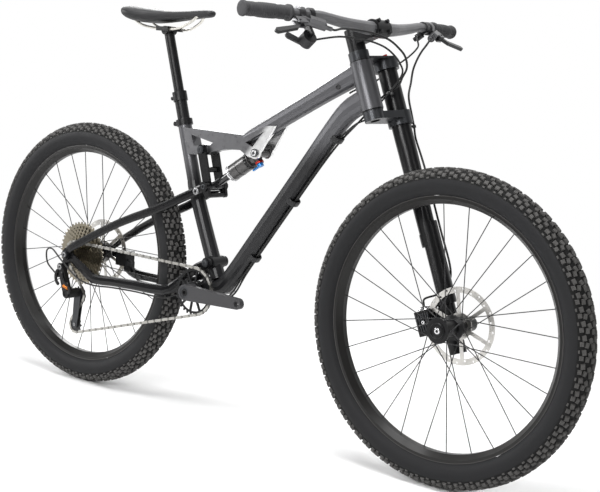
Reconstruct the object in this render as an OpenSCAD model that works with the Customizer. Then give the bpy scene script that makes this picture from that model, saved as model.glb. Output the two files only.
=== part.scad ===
// Full-suspension mountain bike with a single-leg fork, in millimetres.
// +X points forward, +Y to the rider's left and +Z up.
// The origin is on the ground, midway between the axles, in the mid-plane.

/* [Frame] */
// Angle of the steering axis above the ground, in degrees
head_angle = 67.5; // [66:0.5:69]
// Length of the head tube
head_len = 115; // [108:1:122]
// Outer radius of the head tube
head_tube_r = 26; // [24.5:0.5:28]
// Distance forward from the crank axis to the top of the head tube
reach = 431; // [420:1:445]
// Distance from the crank axis to the rear axle
chainstay = 455; // [448:1:465]
// Height of the axles above the crank axis
bb_drop = 29; // [20:1:36]
// Angle of the upper seat tube above the ground, in degrees
seat_angle = 72.2; // [71:0.2:74]
// Length of the straight upper seat tube
seat_upper_len = 190; // [176:1:210]
// Outer radius of the upper seat tube
seat_tube_r = 17.6; // [17.2:0.1:19]
// Width of the bottom bracket shell
shell_width = 73; // [68:1:75]
// Outer radius of the bottom bracket shell
shell_r = 26; // [24.5:0.5:27]
// Half height of the down tube
down_tube_r = 22.5; // [20:0.5:25]
// Half height of the top tube
top_tube_r = 20; // [18:0.5:22]

/* [Fork] */
// Distance of the front axle ahead of the steering axis
fork_offset = 47; // [42:1:52]
// Distance along the steering axis from the axle to the head tube
axle_to_crown = 526; // [518:1:535]
// Distance of the leg to the left of the mid-plane
leg_side = 88; // [86:0.5:92]
// Distance of the leg ahead of the steering axis
leg_lead = 8; // [6:0.2:12]
// Outer radius of the upper leg at its clamps
leg_r = 23; // [22:0.5:24]
// Outer radius of the upper leg at its lower end
leg_tip_r = 20; // [19:0.5:21]
// Radius of the sliding lower leg
slider_r = 16; // [14:0.5:17]
// Travel of the lower leg
fork_travel = 120; // [80:5:120]

/* [Wheels] */
// Outer radius of the tyres, to the tops of the knobs
tyre_r = 362; // [352:1:370]
// Width of the tyres, over the side knobs
tyre_w = 69; // [60:1:72]
// Height of the tyre knobs
knob_h = 4.5; // [3:0.5:5]
// Number of knob rows round each tyre
knob_rows = 36; // [24:2:44]
// Outer radius of the rims
rim_r = 299; // [294:1:303]
// Width of the rims
rim_w = 40; // [34:1:42]
// Depth of the rims
rim_depth = 19; // [17:1:22]
// Number of spokes in each wheel
spoke_count = 28; // [24:4:32]
// Radius of a spoke
spoke_r = 1.1; // [0.9:0.1:1.3]
// Radius of both brake rotors
rotor_r = 90; // [80:1:92]

/* [Drivetrain] */
// Distance between the crank axis and a pedal axis
crank_len = 175; // [165:1:180]
// Number of teeth on the chainring
ring_teeth = 30; // [28:1:34]
// Distance of the chain to the right of the mid-plane
chain_line = 52; // [50:0.5:53]
// Radius of the thread hole for a pedal
pedal_hole_r = 7.14; // [7:0.02:7.3]
// Distance of the outer faces of the crank arms from the mid-plane
crank_out = 88; // [86:0.5:92]

/* [Suspension] */
// Distance of the main pivot ahead of the crank axis
pivot_ahead = 20; // [18:1:22]
// Height of the main pivot above the crank axis
pivot_up = 74; // [72:1:78]
// Radius of the shock can
shock_r = 21; // [18:0.5:23]
// Radius of the pivot axles
pivot_r = 6; // [5:0.25:6.5]

/* [Cockpit] */
// Width of the handlebar between the ends of the grips
bar_width = 806; // [760:2:810]
// Rise of the handlebar
bar_rise = 15; // [10:1:20]
// Distance that the bar ends sweep back
bar_sweep = 60; // [45:1:70]
// Distance of the bar clamp ahead of the steering axis
stem_reach = 68; // [60:1:75]
// Outer radius of the grips
grip_r = 16; // [15:0.5:17.5]

/* [Saddle] */
// Length of the saddle
saddle_len = 286; // [270:1:295]
// Width of the saddle
saddle_width = 142; // [130:1:150]
// Height of the saddle clamp above the seat tube, along the post
post_show = 232; // [222:1:240]
// Radius of the sliding seat post
post_r = 13; // [12:0.1:13.4]

/* [Hidden] */
$fn = 48;

// Radial clearance of turning and sliding fits
run_fit = 0.05;
// Clearance between parts that pass each other
pass_gap = 0.3;
chain_pitch = 12.7;
cog_teeth = [11, 13, 15, 17, 19, 21, 24, 28, 32, 36, 42];
cog_step = 3.9;
chain_cog = 3;
pulley_teeth = 11;

graphite = "#5b5c60";
black = "#191a1c";
silver = "#c4c6c9";
dark = "#34363a";

wheelbase = fork_offset * sin(head_angle) + (axle_to_crown + head_len) * cos(head_angle)
    + reach + sqrt(chainstay * chainstay - bb_drop * bb_drop);
front_axle = [wheelbase / 2, 0, tyre_r];
rear_axle = [-wheelbase / 2, 0, tyre_r];
steer_up = [-cos(head_angle), 0, sin(head_angle)];
steer_fwd = [sin(head_angle), 0, cos(head_angle)];
head_low = front_axle - fork_offset * steer_fwd + axle_to_crown * steer_up;
head_top = head_low + head_len * steer_up;
bb = [head_top.x - reach, 0, tyre_r - bb_drop];
pivot = bb + [pivot_ahead, 0, pivot_up];
seat_bend = bb + [-60, 0, 247];
seat_dir = [-cos(seat_angle), 0, sin(seat_angle)];
seat_top = seat_bend + seat_upper_len * seat_dir;
post_top = seat_top + post_show * seat_dir;
rocker_top = bb + [-27, 0, 358];
rocker_low = bb + [0, 0, 267];
shock_front = bb + [152, 0, 367];
shock_len = norm(rocker_low - shock_front);
shock_tilt = atan2(rocker_low.z - shock_front.z, rocker_low.x - shock_front.x);
guide_at = rear_axle + [25, 0, -111];
tension_at = rear_axle + [18, 0, -195];
stem_up = head_len + 56;
bar_at = head_low + stem_reach * steer_fwd + stem_up * steer_up;
grip_len = 128;
bar_tip = bar_at + [-bar_sweep, bar_width / 2, bar_rise];
bar_knee = bar_at + [-0.46 * bar_sweep, bar_width / 2 - 165, bar_rise];
grip_dir = unit(bar_tip - bar_knee);
grip_start = bar_tip - grip_len * grip_dir;
casing_r = tyre_w / 2 - 0.4 * knob_h;
casing_at = tyre_r - knob_h - casing_r;

function unit(v) = v / norm(v);
function mix(a, b, t) = a + (b - a) * t;
function flip(v) = [v.x, -v.y, v.z];
function pitch_r(teeth) = chain_pitch / (2 * sin(180 / teeth));
function seat_axis_x(z) = seat_bend.x - (z - seat_bend.z) * cos(seat_angle) / sin(seat_angle);
function on_bar(d) = bar_tip - d * grip_dir;
function catmull(a, b, c, d, f) = 0.5 * (2 * b + (c - a) * f
    + (2 * a - 5 * b + 4 * c - d) * f * f + (3 * b - a - 3 * c + d) * f * f * f);
function along(list, i, f) = catmull(list[max(i - 1, 0)], list[i], list[i + 1],
    list[min(i + 2, len(list) - 1)], f);
function smooth(list, steps) = [for (k = [0 : (len(list) - 1) * steps])
    let (i = min(floor(k / steps), len(list) - 2)) along(list, i, k / steps - i)];
function part(list) = [for (s = list) [s[0], s[1], s[2]]];
function bent(v, power) = sign(v) * pow(abs(v), 2 / power);
function heading(list, i) = unit(list[min(i + 1, len(list) - 1)] - list[max(i - 1, 0)]);

// A closed tube through stations [x, y, z, half width, half height]
module loft(stations, sides, power, side_way = [0, 1, 0]) {
    middle = part(stations);
    last = len(stations) - 1;
    points = [for (i = [0 : last]) let (t = heading(middle, i), n = unit(cross(side_way, t)),
        b = cross(t, n)) for (j = [0 : sides - 1]) middle[i]
        + n * stations[i][4] * bent(cos(360 * j / sides), power)
        + b * stations[i][3] * bent(sin(360 * j / sides), power)];
    walls = [for (i = [0 : last - 1], j = [0 : sides - 1]) let (k = (j + 1) % sides)
        each [[i * sides + j, (i + 1) * sides + j, (i + 1) * sides + k],
        [i * sides + j, (i + 1) * sides + k, i * sides + k]]];
    start = [[for (j = [0 : sides - 1]) j]];
    finish = [[for (j = [0 : sides - 1]) last * sides + sides - 1 - j]];
    polyhedron(points, concat(walls, start, finish));
}

// A round cord through a list of points
module cord(points, r, steps, side_way) {
    loft([for (q = smooth(points, steps)) [q.x, q.y, q.z, r, r]], 8, 2, side_way);
}

// A solid rod between two points
module rod(a, b, r) {
    d = b - a;
    translate(a) rotate([0, acos(d.z / norm(d)), atan2(d.y, d.x)]) cylinder(h = norm(d), r = r);
}

// A round tube between two points, open at both ends
module pipe(a, b, r, bore) {
    d = b - a;
    translate(a) rotate([0, acos(d.z / norm(d)), atan2(d.y, d.x)]) difference() {
        cylinder(h = norm(d), r = r);
        translate([0, 0, -1]) cylinder(h = norm(d) + 2, r = bore);
    }
}

// Turns the local Z axis to +Y at a point
module turned(at) {
    translate(at) rotate([-90, 0, 0]) children();
}

// Draws an (x, z) outline as a plate between two distances to the left
module plate(low, high) {
    translate([0, high, 0]) rotate([90, 0, 0]) linear_extrude(high - low) children();
}

module both_sides() {
    children();
    mirror([0, 1, 0]) children();
}

// The frame of the steering axis, with Z up the axis from the lower end of the head tube
module steered() {
    translate(head_low) rotate([0, head_angle - 90, 0]) children();
}

// A flat outline round two circles
module link_outline(a, ra, b, rb) {
    d = norm(b - a);
    turn = atan2(b.y - a.y, b.x - a.x);
    lean = acos((ra - rb) / d) - 3;
    translate(a) circle(ra);
    translate(b) circle(rb);
    polygon([a + ra * [cos(turn + lean), sin(turn + lean)], b + rb * [cos(turn + lean), sin(turn + lean)],
        b + rb * [cos(turn - lean), sin(turn - lean)], a + ra * [cos(turn - lean), sin(turn - lean)]]);
}

// A toothed disc outline: four points to a tooth
module tooth_outline(teeth, root, tip) {
    step = 360 / teeth;
    polygon([for (i = [0 : teeth - 1], q = [[-0.32, root], [-0.12, tip], [0.12, tip], [0.32, root]])
        q[1] * [cos((i + q[0]) * step), sin((i + q[0]) * step)]]);
}

// Frame, fixed

down_joint = head_low + 30 * steer_up;
top_joint = head_low + 94 * steer_up;
down_low = bb + [76, 0, 38];
down_high = down_joint + [-96, 0, -83];
top_low = bb + [104, 0, 394];
function st(p, w, h) = [p.x, p.y, p.z, w, h];
down_stations = [st(bb + [16, 0, 4], 30, 19), st(bb + [46, 0, 15], 29, 21), st(down_low, 26, down_tube_r),
    st(mix(down_low, down_high, 0.35), 23.5, down_tube_r), st(mix(down_low, down_high, 0.7), 23, down_tube_r),
    st(down_high, 23.5, down_tube_r + 1), st(down_joint + [-56, 0, -36], 24, down_tube_r + 3),
    st(down_joint + [-24, 0, -15], 24, down_tube_r + 4), st(down_joint, 24, down_tube_r + 4)];
top_stations = [st(top_low, 17, top_tube_r - 4), st(mix(top_low, top_joint, 0.08), 19.8, top_tube_r - 1),
    st(mix(top_low, top_joint, 0.35), 20, top_tube_r), st(mix(top_low, top_joint, 0.65), 20.5,
    top_tube_r + 1),
    st(mix(top_low, top_joint, 0.88), 22, top_tube_r + 4), st(top_joint, 23, top_tube_r + 5)];
seat_stations = [st(bb + [36, 0, 34], 20, 17.5), st(pivot + [-4, 0, 0], 20, 18),
    st(mix(pivot, seat_bend, 0.5) + [-3, 0, 0], 19.5, 17.8), st(seat_bend, 18.5, 18),
    st(seat_bend + 28 * seat_dir, 17.4, 17.4)];
main_axle_r = pivot_r + 1.5;
boss_out = 23;
yoke_in = 19.5;
yoke_out = 27;
lug_half = 16;
rocker_in = yoke_in + 0.5;
rocker_out = yoke_out;
head_bore_r = head_tube_r - 3.5;
steerer_r = 14.3;
spindle_r = 15;
cup_r = shell_r - 5;
outer_post_r = post_r + 2.8;
collar_up = 72;
collar_len = 16;

module head_tube() {
    color(graphite) steered() difference() {
        cylinder(h = head_len, r = head_tube_r);
        translate([0, 0, -1]) cylinder(h = head_len + 2, r = head_bore_r);
    }
}

module head_cope() {
    steered() translate([0, 0, -80]) cylinder(h = head_len + 160, r = head_tube_r);
}

module top_tube() {
    color(graphite) difference() {
        loft(smooth(top_stations, 3), 16, 2.3);
        head_cope();
    }
}

module down_tube() {
    color(graphite) difference() {
        loft(smooth(down_stations, 3), 16, 2.3);
        head_cope();
        turned(bb) cylinder(h = 200, r = shell_r, center = true);
    }
}

module seat_tube() {
    color(graphite) difference() {
        union() {
            loft(smooth(seat_stations, 3), 16, 2.2);
            rod(seat_bend + 12 * seat_dir, seat_top, seat_tube_r);
            turned(pivot) cylinder(h = 2 * boss_out, r = 17, center = true);
        }
        rod(seat_bend + 22 * seat_dir, seat_top + 5 * seat_dir, outer_post_r + 0.02);
        turned(pivot) cylinder(h = 100, r = main_axle_r + run_fit, center = true);
        turned(bb) cylinder(h = 200, r = shell_r, center = true);
        loft(smooth(down_stations, 3), 16, 2.3);
    }
}

module bottom_bracket_shell() {
    color(black) turned(bb) difference() {
        cylinder(h = shell_width, r = shell_r, center = true);
        cylinder(h = shell_width + 2, r = cup_r, center = true);
    }
}

module arm_outline() {
    top = seat_top.z - collar_len - 3.4;
    low = top - 68;
    difference() {
        polygon([[bb.x + 102, bb.z + 369], [bb.x + 117, bb.z + 406], [seat_axis_x(top), top],
            [seat_axis_x(low), low], [bb.x - 16, bb.z + 345], [bb.x + 6, bb.z + 357],
            [bb.x + 50, bb.z + 366]]);
        polygon([[bb.x - 74, bb.z + 392], [bb.x - 64, bb.z + 365], [bb.x - 10, bb.z + 369],
            [bb.x + 2, bb.z + 378]]);
    }
}

module yoke_outline() {
    difference() {
        union() {
            polygon([[bb.x + 96, bb.z + 374], [bb.x + 129, bb.z + 356], [bb.x + 156, bb.z + 353],
                [bb.x + 174, bb.z + 378], [bb.x + 210, bb.z + 438], [bb.x + 184, bb.z + 436],
                [bb.x + 112, bb.z + 402]]);
            translate([shock_front.x, shock_front.z]) circle(15);
        }
        polygon([[bb.x + 120, bb.z + 390], [bb.x + 143, bb.z + 381], [bb.x + 176, bb.z + 421]]);
        translate([shock_front.x, shock_front.z]) circle(pivot_r + 0.02);
    }
}

module shock_yoke() {
    color(silver) difference() {
        union() {
            plate(-lug_half, lug_half) arm_outline();
            turned(rocker_top) cylinder(h = 2 * yoke_in, r = 13, center = true);
            both_sides() plate(yoke_in, yoke_out) yoke_outline();
            plate(-yoke_in - 1, yoke_in + 1) polygon([[bb.x + 96, bb.z + 374], [bb.x + 114, bb.z + 366],
                [bb.x + 124, bb.z + 388], [bb.x + 114, bb.z + 402]]);
        }
        turned(rocker_top) cylinder(h = 100, r = pivot_r + 0.02, center = true);
        rod(seat_bend, seat_top + 50 * seat_dir, seat_tube_r);
    }
}

module bearing_cups() {
    color(black) {
        for (s = [-1, 1]) turned(bb) difference() {
            union() {
                translate([0, 0, s * (shell_width / 2 - 7)])
                    cylinder(h = 14, r = cup_r - 0.02, center = true);
                translate([0, 0, s * (shell_width / 2 + 2)]) cylinder(h = 4, r = cup_r + 3, center = true);
            }
            cylinder(h = 200, r = spindle_r + run_fit, center = true);
        }
        for (e = [0, 1]) steered() difference() {
            union() {
                translate([0, 0, e * (head_len - 14)]) cylinder(h = 14, r = head_bore_r - 0.02);
                translate([0, 0, e * (head_len + 2.5) - 2.5]) cylinder(h = 2.5, r = head_tube_r - 1);
            }
            translate([0, 0, -20]) cylinder(h = head_len + 40, r = steerer_r + run_fit);
        }
    }
}

module seat_collar() {
    color(black) difference() {
        union() {
            rod(seat_top - collar_len * seat_dir, seat_top - 1 * seat_dir, seat_tube_r + 4);
            translate(seat_top - 8.5 * seat_dir + [-23, 0, -6]) rotate([90, 0, 0])
                cylinder(h = 22, r = 6, center = true);
        }
        rod(seat_top - 40 * seat_dir, seat_top + 10 * seat_dir, seat_tube_r + 0.02);
    }
}

module dropper_outer() {
    color(black) difference() {
        union() {
            rod(seat_top - 150 * seat_dir, seat_top + collar_up * seat_dir, outer_post_r);
            rod(seat_top + (collar_up - 24) * seat_dir, seat_top + collar_up * seat_dir, outer_post_r + 3);
            rod(seat_top + (collar_up - 12) * seat_dir + [-12, 0, -3],
                seat_top + (collar_up - 12) * seat_dir + [-28, 0, -8], 5);
        }
        rod(seat_top - 140 * seat_dir, seat_top + 120 * seat_dir, post_r + run_fit);
    }
}

// A pin along Y with a head at each end
module headed_pin(at, r, half, head_r, head_h) {
    turned(at) {
        cylinder(h = 2 * half, r = r, center = true);
        for (s = [-1, 1]) translate([0, 0, s * (half - head_h / 2)])
            cylinder(h = head_h, r = head_r, center = true);
    }
}

module pivot_bolts() {
    color(silver) {
        headed_pin(pivot, main_axle_r, chainstay_in + boss_len + 4.3, 10, 4);
        headed_pin(rocker_top, pivot_r, rocker_out + 4.3, 10, 4);
        headed_pin(shock_front, pivot_r, yoke_out + 4, 10, 4);
    }
}

// Fork and cockpit, turning with the steering

leg_low = -330;
leg_top = head_len + 7;
block_top = leg_low - fork_travel - 5;
block_low = -axle_to_crown - 52;
spoke_hub_r = 12.5;
block_r = 20;
bar_yaw = atan2(grip_dir.y, grip_dir.x);
bar_clamp_r = 15.9;
bar_end_r = 11.1;
lever_tilt = 38;
pod_tilt = 52;
master_at = grip_len + 27;
remote_at = grip_len + 56;
bar_fwd = [grip_dir.y, -grip_dir.x, 0];
lever_fwd = bar_fwd * cos(lever_tilt) - [0, 0, sin(lever_tilt)];
lever_low = -bar_fwd * sin(lever_tilt) - [0, 0, cos(lever_tilt)];
pod_fwd = bar_fwd * cos(pod_tilt) - [0, 0, sin(pod_tilt)];
pod_low = -bar_fwd * sin(pod_tilt) - [0, 0, cos(pod_tilt)];
function on_lever(d, x, y, z) = on_bar(d) + x * grip_dir + y * lever_fwd + z * lever_low;
function on_pod(d, x, y, z) = on_bar(d) + x * grip_dir + y * pod_fwd + z * pod_low;
function in_steer(x, y, z) = head_low + x * steer_fwd + [0, y, 0] + z * steer_up;

module steerer_tube() {
    color(black) steered() difference() {
        translate([0, 0, -26]) cylinder(h = stem_up + 49, r = steerer_r);
        translate([0, 0, -27]) cylinder(h = stem_up + 44, r = steerer_r - 2.5);
    }
}

module crown(low, high, arm_low, arm_high, leg_clamp_low, leg_clamp_high) {
    difference() {
        union() {
            translate([0, 0, low]) cylinder(h = high - low, r = 24);
            translate([leg_lead, leg_side, leg_clamp_low])
                cylinder(h = leg_clamp_high - leg_clamp_low, r = leg_r + 6.5);
            translate([0, 0, arm_low]) linear_extrude(arm_high - arm_low)
                link_outline([0, 0], 23, [leg_lead, leg_side], leg_r + 5);
        }
        translate([0, 0, low - 20]) cylinder(h = high - low + 40, r = steerer_r + 0.02);
        translate([leg_lead, leg_side, -100]) cylinder(h = 400, r = leg_r + 0.02);
    }
}

module fork_crowns() {
    color(dark) steered() {
        crown(head_len + 3, head_len + 24, head_len + 3, head_len + 8, head_len - 20, head_len + 6);
        crown(-26, -3, -26, -9, -40, -8);
    }
}

module fork_outer_leg() {
    color(graphite) steered() translate([leg_lead, leg_side, 0]) difference() {
        union() {
            translate([0, 0, -70]) cylinder(h = leg_top + 70, r = leg_r);
            translate([0, 0, leg_low]) cylinder(h = -70 - leg_low, r1 = leg_tip_r, r2 = leg_r);
            translate([0, 0, leg_low]) cylinder(h = 30, r = leg_tip_r + 2);
        }
        translate([0, 0, leg_low - 1]) cylinder(h = leg_top - leg_low - 40, r = slider_r + run_fit);
    }
}

module damper_knob() {
    color("#c22a20") steered() translate([leg_lead, leg_side, leg_top + pass_gap]) {
        cylinder(h = 6, r = 13);
        translate([-9, -2, 5]) cube([18, 4, 6]);
    }
}

module stem() {
    color(black) steered() difference() {
        union() {
            translate([0, 0, head_len + 24]) cylinder(h = stem_up - head_len - 2, r = 20.5);
            translate([8, -17, stem_up - 16]) cube([stem_reach - 16, 34, 30]);
            translate([stem_reach, 0, stem_up]) rotate([-90, 0, 0]) cylinder(h = 52, r = 21, center = true);
            for (y = [-17, 17], z = [-13, 13]) translate([stem_reach + 8, y, stem_up + z])
                rotate([0, 90, 0]) cylinder(h = 14, r = 4.5);
        }
        translate([0, 0, head_len]) cylinder(h = 150, r = steerer_r + 0.02);
        translate([stem_reach, 0, stem_up]) rotate([-90, 0, 0])
            cylinder(h = 80, r = bar_clamp_r + 0.02, center = true);
    }
}

bend_at = remote_at + 32;
bar_half = [st(bar_at, bar_clamp_r, bar_clamp_r), st(bar_at + [0, 27, 0], bar_clamp_r, bar_clamp_r),
    st(bar_at + [0, 40, 0], bar_clamp_r, bar_clamp_r), st(bar_at + [0, 66, 0.08 * bar_rise], 14.4, 14.4),
    st(mix(bar_at, on_bar(bend_at), 0.56) + [3, 0, -0.26 * bar_rise], 13, 13),
    st(mix(bar_at, on_bar(bend_at), 0.78) + [2, 0, -0.16 * bar_rise], 12, 12),
    st(on_bar(bend_at), bar_end_r, bar_end_r), st(on_bar(remote_at + 16), bar_end_r, bar_end_r),
    st(on_bar(remote_at - 12), bar_end_r, bar_end_r), st(on_bar(grip_len), bar_end_r, bar_end_r),
    st(on_bar(4), bar_end_r, bar_end_r)];

module handlebar() {
    right = [for (i = [len(bar_half) - 1 : -1 : 1]) let (s = bar_half[i]) [s[0], -s[1], s[2], s[3], s[4]]];
    color(black) loft(smooth(concat(right, bar_half), 2), 14, 2, [0, 0, 1]);
}

module grips() {
    color(dark) both_sides() difference() {
        union() {
            rod(on_bar(grip_len), on_bar(0), grip_r);
            rod(on_bar(grip_len), on_bar(grip_len - 7), grip_r + 2);
            rod(on_bar(8), on_bar(0), grip_r + 1.5);
        }
        rod(on_bar(grip_len + 5), on_bar(3), bar_end_r + 0.02);
    }
}

// The frame of one control on the left of the bar: X outward, Y forward and down, Z down and back
module control(d, tilt) {
    translate(on_bar(d)) rotate([180 + tilt, 0, bar_yaw]) children();
}

module bar_ring(width, r) {
    rotate([0, 90, 0]) cylinder(h = width, r = r, center = true);
}

blade_pivot = [20, 31];
blade_knee = [38, 50];
blade_tip = [98, 66];
blade_half = 4;
barrel_from = [8, 20];
barrel_len = 60;
barrel_turn = 19;
pod_out = 40;
pod_r = 17;
pod_low_end = 22;
pod_high_end = 46;
function on_barrel(d) = barrel_from + d * [-cos(barrel_turn), sin(barrel_turn)];

module brake_master() {
    control(master_at, lever_tilt) difference() {
        union() {
            bar_ring(14, 16);
            translate([-6, 6, -7]) cube([12, 14, 14]);
            translate(barrel_from) rotate([0, 0, -barrel_turn]) {
                rotate([0, -90, 0]) cylinder(h = barrel_len, r = 9);
                rotate([0, -90, 0]) cylinder(h = barrel_len + 16, r = 5);
                translate([6 - barrel_len, -4, -15]) cube([38, 12, 15]);
            }
            for (s = [-1, 1]) translate([2, 20, s * (blade_half + 2.3) - 2]) cube([26, 19, 4]);
            translate([blade_pivot.x, blade_pivot.y, 0])
                cylinder(h = 2 * blade_half + 12, r = 2.5, center = true);
        }
        bar_ring(40, bar_end_r + 0.02);
    }
}

module brake_masters() {
    color(black) both_sides() brake_master();
}

module brake_blade() {
    control(master_at, lever_tilt) difference() {
        translate([0, 0, -blade_half]) union() {
            linear_extrude(2 * blade_half) link_outline(blade_pivot, 6, blade_knee, 5);
            linear_extrude(2 * blade_half) link_outline(blade_knee, 4.6, blade_tip, 6);
        }
        translate([blade_pivot.x, blade_pivot.y, 0])
            cylinder(h = 4 * blade_half, r = 2.5 + run_fit, center = true);
    }
}

module brake_blade_left() {
    color(silver) brake_blade();
}

module brake_blade_right() {
    color(silver) mirror([0, 1, 0]) brake_blade();
}

module remote(r, out, low, high) {
    control(remote_at, pod_tilt) difference() {
        union() {
            bar_ring(10, 15);
            translate([-4, 2, 10.5]) cube([8, out, low - 6]);
            translate([0, out, low]) cylinder(h = high - low, r = r);
            translate([0, out, low]) cylinder(h = high - low + 9, r = 3);
            translate([0, out, high + pass_gap + 5 + pass_gap]) cylinder(h = 3, r = 5.5);
        }
        bar_ring(80, bar_end_r + 0.02);
    }
}

module paddle(out, high, r, reach_out, reach_back) {
    control(remote_at, pod_tilt) translate([0, 0, high + pass_gap]) difference() {
        union() {
            linear_extrude(5) link_outline([0, out], r, [reach_out, reach_back], r + 1);
            translate([0, out, 0]) cylinder(h = 5, r = r - 0.6);
        }
        translate([0, out, -5]) cylinder(h = 15, r = 3 + run_fit);
    }
}

module shifter_body() {
    color(black) mirror([0, 1, 0]) remote(pod_r, pod_out, pod_low_end, pod_high_end);
}

module shift_paddle() {
    color(dark) mirror([0, 1, 0]) paddle(pod_out, pod_high_end, 7, 34, pod_out - 18);
}

module dropper_remote() {
    color(black) remote(9, 10, 10, 26);
}

module dropper_paddle() {
    color(dark) paddle(10, 26, 6, 34, -4);
}

module fork_inner_leg() {
    color(black) steered() {
        difference() {
            union() {
                translate([leg_lead, leg_side, block_top - 20])
                    cylinder(h = -120 - block_top, r = slider_r);
                translate([leg_lead, leg_side, block_low - 8])
                    cylinder(h = block_top - block_low + 8, r = block_r);
                translate([fork_offset, leg_side - 20, -axle_to_crown]) rotate([-90, 0, 0])
                    cylinder(h = 40, r = 17.5);
                translate([leg_lead, leg_side - 16, -axle_to_crown - 16])
                    cube([fork_offset - leg_lead, 32, 32]);
            }
            translate([fork_offset, leg_side + 14, -axle_to_crown]) rotate([-90, 0, 0])
                cylinder(h = 10, r = 12);
        }
        translate([fork_offset, -35, -axle_to_crown]) rotate([-90, 0, 0])
            cylinder(h = leg_side + 25, r = spoke_hub_r);
    }
}

module leg_guard() {
    color(black) steered() translate([leg_lead, leg_side, 0]) union() {
        intersection() {
            difference() {
                translate([0, 0, block_top - 10]) cylinder(h = 190, r = leg_tip_r + 6);
                translate([0, 0, block_top - 20]) cylinder(h = 210, r = leg_tip_r + 3.5);
            }
            translate([8, -60, block_top - 30]) cube([60, 120, 260]);
        }
        difference() {
            translate([0, 0, block_top - 14]) cylinder(h = 12, r = leg_tip_r + 6);
            translate([0, 0, block_top - 20]) cylinder(h = 30, r = block_r + 0.02);
        }
    }
}

front_rotor_y = 61;
rear_rotor_y = 57;
rotor_thick = 1.8;

module front_caliper() {
    color(black) steered() difference() {
        union() {
            translate([-57, front_rotor_y - 15, -axle_to_crown - 3]) cube([39, 32, 58]);
            translate([-22, front_rotor_y + 8, -axle_to_crown + 4]) cube([22, 16, 48]);
        }
        translate([fork_offset, front_rotor_y, -axle_to_crown]) rotate([-90, 0, 0])
            cylinder(h = 5, r = rotor_r + 2.5, center = true);
        translate([leg_lead, leg_side, -700]) cylinder(h = 400, r = block_r + 0.02);
    }
}

// Wheels

hub_left = 31;
hub_right = -31;
rear_left = 40;
rear_right = -18;
flange_r = 29;
hub_hole_r = 24;
spoke_lead = 62;
rear_axle_r = 6;
drop_in = 74;

wall_thick = 2.5;
bead_r = rim_r + 0.2;
bead_half = rim_w / 2 - 0.3;
wall_top = max(casing_at, bead_r + 6);
function casing_half(r) = sqrt(max(casing_r * casing_r - (r - casing_at) * (r - casing_at), 0));
flange_half = max(bead_half, min(casing_half(bead_r), casing_half(bead_r + 3))) - 0.5;

// The sidewalls from the rim up to the widest part of the casing, less a thickness
module wall_outline(thick) {
    wide = min(casing_half(wall_top), casing_r) - 0.6 - thick;
    polygon([[bead_r - 3, -bead_half + thick], [wall_top, -wide], [wall_top, wide],
        [bead_r - 3, bead_half - thick]]);
}

// The casing, hollow and open to the rim
module casing() {
    difference() {
        union() {
            rotate_extrude() translate([casing_at, 0]) circle(casing_r);
            rotate_extrude() wall_outline(0);
        }
        rotate_extrude() translate([casing_at, 0]) circle(casing_r - wall_thick);
        rotate_extrude() wall_outline(wall_thick);
        cylinder(h = 4 * tyre_w, r = bead_r, center = true);
    }
}

// The two beads, hooked inside the rim
module beads() {
    for (s = [-1, 1]) mirror([0, 0, (1 - s) / 2]) {
        rotate_extrude() translate([bead_r, rim_w / 2 - 7]) square([3, flange_half - rim_w / 2 + 7]);
        rotate_extrude() translate([rim_r - 5, rim_w / 2 - 7]) square([7, 3.6]);
    }
}

// One knob on the tread, at an angle round the tyre and a slant across it
module knob(turn, slant, long, wide) {
    rotate([0, 0, turn]) translate([casing_at, 0, 0]) rotate([0, slant, 0])
        translate([casing_r - 1.2, -long / 2, -wide / 2]) cube([knob_h + 0.35, long, wide]);
}

module tyre(at) {
    step = 360 / knob_rows;
    color(black) turned(at) union() {
        casing();
        beads();
        for (i = [0 : knob_rows - 1]) {
            knob(i * step, 9, 20, 15);
            knob((i + 0.5) * step, -9, 20, 15);
            knob((i + 0.25) * step, 46, 17, 11);
            knob((i + 0.75) * step, -46, 17, 11);
        }
    }
}

module rim_outline() {
    low = rim_r - rim_depth;
    difference() {
        polygon([[rim_r, -rim_w / 2], [rim_r - 8, -rim_w / 2], [low, -7], [low, 7], [rim_r - 8, rim_w / 2],
            [rim_r, rim_w / 2]]);
        polygon([[rim_r + 1, 3 - rim_w / 2], [rim_r - 7, 3 - rim_w / 2], [low + 4, -5], [low + 4, 5],
            [rim_r - 7, rim_w / 2 - 3], [rim_r + 1, rim_w / 2 - 3]]);
    }
}

module rim(at) {
    color(dark) turned(at) rotate_extrude() rim_outline();
}

module spokes(at, left, right) {
    ring = rim_r - rim_depth + 3;
    color(dark) for (k = [0 : spoke_count - 1]) {
        lead = floor(k / 2) % 2 == 0 ? 1 : -1;
        turn = (k + 0.5) * 360 / spoke_count;
        flange = k % 2 == 0 ? left : right;
        start = turn + lead * spoke_lead;
        rod(at + [hub_hole_r * cos(start), flange + 1.6 * lead, hub_hole_r * sin(start)],
            at + [ring * cos(turn), flange * 0.08, ring * sin(turn)], spoke_r);
    }
}

module front_tyre() {
    tyre(front_axle);
}

module rear_tyre() {
    tyre(rear_axle);
}

module front_rim() {
    rim(front_axle);
}

module rear_rim() {
    rim(rear_axle);
}

module front_spokes() {
    spokes(front_axle, hub_left, hub_right);
}

module rear_spokes() {
    spokes(rear_axle, rear_left, rear_right);
}

module front_hub() {
    color(black) turned(front_axle) rotate_extrude() polygon([[spoke_hub_r + run_fit, -34],
        [17, -38], [19, -36], [19, hub_right - 3], [flange_r, hub_right - 2.5], [flange_r, hub_right + 2.5],
        [19, hub_right + 6], [19, hub_left - 6], [flange_r, hub_left - 2.5], [flange_r, hub_left + 2.5],
        [20, hub_left + 5], [20, front_rotor_y + 2], [spoke_hub_r + run_fit, front_rotor_y + 2]]);
}

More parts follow.
